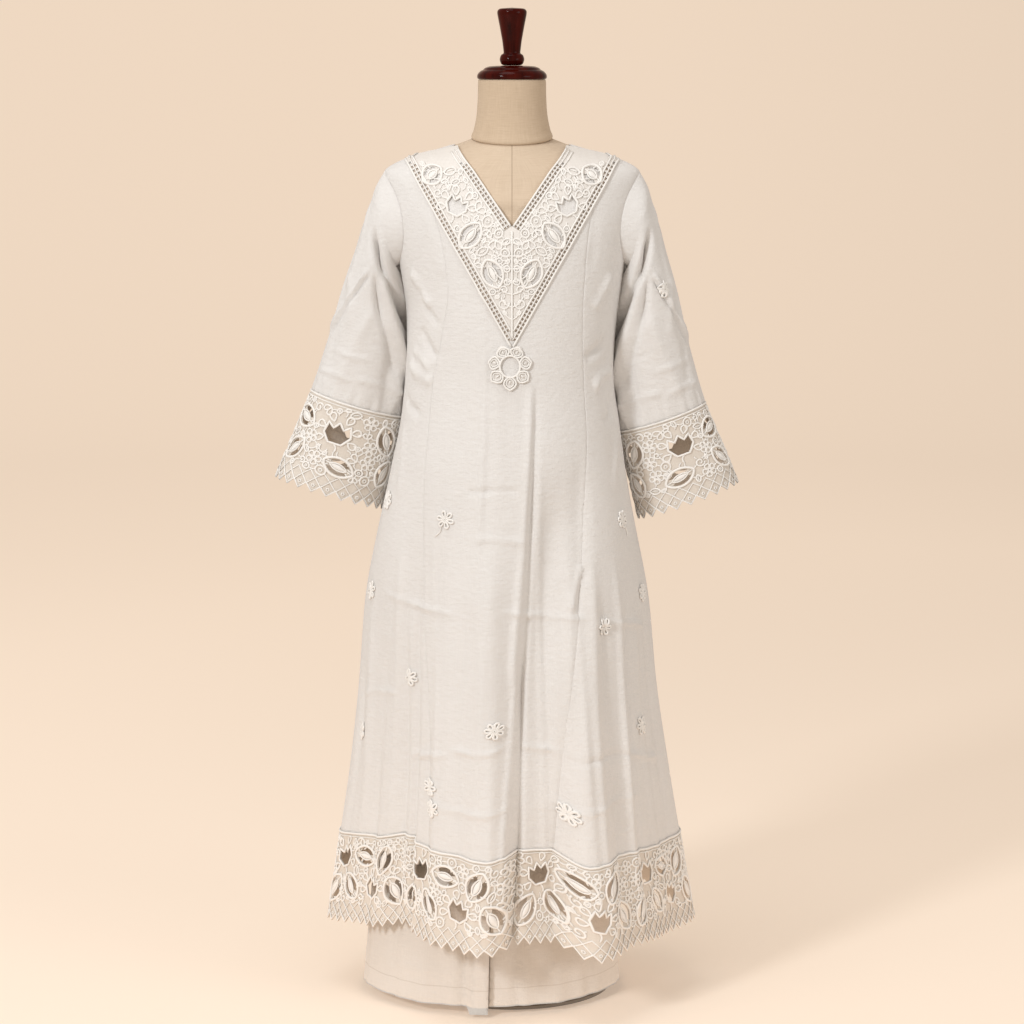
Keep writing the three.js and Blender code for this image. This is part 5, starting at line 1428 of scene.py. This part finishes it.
def leg_of(side):
    """Surface of one leg, by the turn round it and the height."""
    def surface(turn, height):
        """Half-ovals beside the parting line, their inner sides flat, led to the waist above."""
        turn, height = np.broadcast_arrays(np.asarray(turn, float), np.asarray(height, float))
        parting, left, right, front, back = curve_at(TROUSERS, np.clip(height, LEG_LOW, LEG_TOP))
        wide = np.abs((left if side < 0 else right) - parting)
        at = np.where(height > CROTCH + 1, turn, np.clip(turn, 0, 180))
        x, y, s, c = oval(at, wide, wide, front, back, 2)
        if side < 0:
            inside = smooth((FOLD_TURN - at) / 1.5)
            y = y - inside * FOLD_OUT * np.clip((FOLD_TOP - height) / 150, 0, 1)
        reach = creased(LEG_CREASES, at, height, LEG_MM) * np.clip((560 - height) / 300, 0, 1)
        reach = reach - 0.7 * np.exp(-((height - STITCHES) / 1.6) ** 2)
        fade = smooth(at / 6) * smooth((180 - at) / 6)
        x, y = x + reach * s * fade, y - reach * c * fade
        low = height <= CROTCH + 1
        y = np.where(low & (turn < 0), y * (1 + turn / 90), y)
        y = np.where(low & (turn > 180), y * (1 - (turn - 180) / 90), y)
        gap = np.where(low, LEG_GAP, SEAM / 2)
        below = np.stack([parting + side * (x + gap), y, height], -1)
        angle = np.where((side < 0) & (turn > 90), 360 - turn, side * turn)
        above = lay(torso, angle, WAIST, CLOTH / 2 + SEAM)
        above = above + np.array([side * SEAM / 2, 0, -SEAM])
        share = np.clip((height - LEG_TOP) / (WAIST - LEG_TOP), 0, 1)[..., None]
        return below + (above - below) * share
    return surface


AROUND = (-89.9, 269.9)  # a piece cut all round starts and ends at the side, degrees
LEG_SIDES = [(AROUND[1], CROTCH - 1), (180, CROTCH - 1), (180, WAIST - SEAM), (0, WAIST - SEAM),
             (0, CROTCH - 1), (AROUND[0], CROTCH - 1)]
for side, name in ((-1, "left"), (1, "right")):
    fold = [(-1, LEG_HEM), (0, FOLD_HEM), (8, FOLD_HEM), (FOLD_TURN, LEG_HEM)] if side < 0 else []
    outline = [(AROUND[0], LEG_HEM), *fold, (AROUND[1], LEG_HEM), *LEG_SIDES]
    region = cut(outline, step=8.0, mm_per_u=LEG_MM)
    leg = shell(f"trouser_leg_{name}_cloth", leg_of(side), region, CLOTH, trouser_cotton_painted_shade,
                facing=-side, flat=even_width(LEG_MM))
    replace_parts(leg, f"trouser_leg_{name}")
    print("leg", name, len(region[1]), "triangles")

band = cut(rectangle(*AROUND, WAIST, BAND_TOP), step=6, mm_per_u=BAND_MM)
waistband = shell("trouser_waistband_cloth", torso, band, CLOTH, trouser_cotton_painted_shade,
                  out=SEAM + CLOTH / 2, flat=even_width(BAND_MM))
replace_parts(waistband, "trouser_waistband")

# %% [markdown]
# ## The cut of each sewn piece
# The flat size that every piece of cloth was cut to is printed, so that the worn cloth can be
# set against the pattern. The width includes what the folds take up, and the area leaves out
# what was cut away.

PANELS = ["kurta_front_centre", "kurta_front_left", "kurta_front_right", "kurta_back"]
SHEETS = [  # piece, held, what it lies on or hangs from, pieces on it
    ("kurta_front_centre_cloth", "hung", ["form_torso"], ["flowers_front"]),
    ("kurta_front_left_cloth", "hung", ["form_torso"], []),
    ("kurta_front_right_cloth", "hung", ["form_torso"], []),
    ("kurta_back_cloth", "hung", ["form_torso"], ["flowers_back"]),
    ("sleeve_left_cloth", "hung", ["kurta_front_left", "kurta_back"], []),
    ("sleeve_right_cloth", "hung", ["kurta_front_right", "kurta_back"], ["flower_sleeve_right"]),
    ("hem_lace_front_ground", "hung", PANELS[:3], ["hem_lace_front_cords"]),
    ("hem_lace_back_ground", "hung", PANELS[3:], ["hem_lace_back_cords"]),
    ("yoke_ground", "laid", PANELS[:3], ["yoke_cords"]),
    ("yoke_flower_ground", "laid", PANELS[:1], ["yoke_flower_cords"]),
    ("trouser_waistband_cloth", "hung", ["form_torso"], []),
    ("trouser_leg_left_cloth", "hung", ["trouser_waistband"], []),
    ("trouser_leg_right_cloth", "hung", ["trouser_waistband"], [])]
SHEETS += [(f"cuff_{side}_{half}_ground", "hung", [f"sleeve_{side}"], [f"cuff_{side}_{half}_cords"])
           for side in ("left", "right") for half in ("front", "back")]
CUTS["yoke_ground"] = (0.20, 0.31, CUTS["yoke_ground"][2])  # its two arms, cut side by side
for name, held, rests_on, on_it in SHEETS:
    width, length, area = CUTS[name]
    print(f"{name}: {width:.3f} by {length:.3f} m, {area:.4f} m2")
counts = [len(piece.data.polygons) for piece in bpy.data.objects if piece.type == "MESH"]
print("triangles before the walls:", sum(counts))

# %% [markdown]
# ## Studio
# A pale floor runs up into a round, peach-toned wall, far enough out that every view stays
# inside it. The paper glows by its own emission as painted light, paler farther out and darker a
# little to the right as painted shade. A soft key light from the upper left models the folds, a
# weaker one hangs overhead, one from the right fills the shadows, and a warm one that the camera
# doesn't see gives the glow of the floor.

# %% Floor, wall and lights
# the ramp's place: paler by metres out, and darker by metres to the right as painted shade
PALE_RISE, PALE_START, SHADE_TO_RIGHT = 0.3, -0.36, -0.32  # the paper's tone, by metres
PAPER_NEAR, PAPER_FAR, AIR = (0.80, 0.685, 0.575), (0.87, 0.745, 0.625), (1.0, 0.885, 0.77, 1)
# painted light: the paper glows by its own emission, in the ramp's colour
glowing_paper, tree, shader = new_material("studio_paper", Roughness=0.95, Specular_IOR_Level=0.1,
                                         Emission_Strength=0.33)
at = object_place(tree)
away = node(tree, "ShaderNodeVectorMath", {"operation": "LENGTH"}, i0=at).outputs["Value"]
to_right = node(tree, "ShaderNodeSeparateXYZ", Vector=at).outputs[0]
glow_and_shade = value_math(tree, "MULTIPLY_ADD", away, PALE_RISE, PALE_START)
glow_and_shade = value_math(tree, "MULTIPLY_ADD", to_right, SHADE_TO_RIGHT, value_math(tree, "MINIMUM", glow_and_shade, 1.0))
ramp = two_tone(tree, glow_and_shade, PAPER_NEAR, PAPER_FAR)
ramp.color_ramp.interpolation = "EASE"
tree.links.new(ramp.outputs[0], shader.inputs["Base Color"])
tree.links.new(ramp.outputs[0], shader.inputs["Emission Color"])
FLOOR_EDGE, BEND, WALL_TOP, AROUND_STUDIO = 6500, 2500, 6000, 128
bend = np.linspace(0, math.pi / 2, 24)
profile = np.concatenate([
    [(10.0, 0.0)], np.linspace((1000, 0), (FLOOR_EDGE, 0), 12),
    edge(FLOOR_EDGE + BEND * np.sin(bend), BEND - BEND * np.cos(bend))[1:],
    [(FLOOR_EDGE + BEND, WALL_TOP)]])
r, z = profile.T
points = turned(r, z - 0.5, AROUND_STUDIO)
middle = list(range(0, AROUND_STUDIO * len(profile), len(profile)))
mesh = bpy.data.meshes.new("studio")
mesh.from_pydata((points.reshape(-1, 3) / 1000).tolist(), [],
                 grid(AROUND_STUDIO, len(profile)).tolist() + [middle])
mesh.polygons.foreach_set("use_smooth", np.ones(len(mesh.polygons), bool))
mesh.materials.append(glowing_paper)
studio = bpy.data.objects.new("studio", mesh)
bpy.context.scene.collection.objects.link(studio)
studio.visible_diffuse = False

DAYLIGHT, PEACH, SUIT_MIDDLE = (0.95, 0.975, 1.0), (1.0, 0.66, 0.42), (0, 0, 0.75)
LIGHTS = [  # name, place, size, power
    ("key", (-3.0, -3.9, 3.0), 0.9, 128), ("top", (-0.6, -0.8, 4.4), 2.0, 30),
    ("fill", (3.4, -2.6, 1.8), 2.0, 29)]


def soft_light(name, place, size, power, color=DAYLIGHT, target=SUIT_MIDDLE):
    """Round area light of a size in metres and a power in watts, turned to its target."""
    light = bpy.data.lights.new(name, "AREA")
    light.shape, light.size, light.energy, light.color = "DISK", size, power, color
    lamp = bpy.data.objects.new(name, light)
    lamp.location = place
    lamp.rotation_euler = (Vector(target) - Vector(place)).to_track_quat("-Z", "Y").to_euler()
    bpy.context.scene.collection.objects.link(lamp)
    return lamp


for light in LIGHTS:
    soft_light(*light)
bounce = soft_light("floor_bounce", (0, 0, 0.015), 1.7, 4.5, PEACH, (0, 0, 3))
bounce.visible_camera = False
world = bpy.data.worlds.new("studio_air")
bpy.context.scene.world = world
world.use_nodes = True
air = world.node_tree.nodes["Background"]
air.inputs["Color"].default_value = AIR
air.inputs["Strength"].default_value = 0.575
bpy.context.scene.view_settings.view_transform = "Standard"
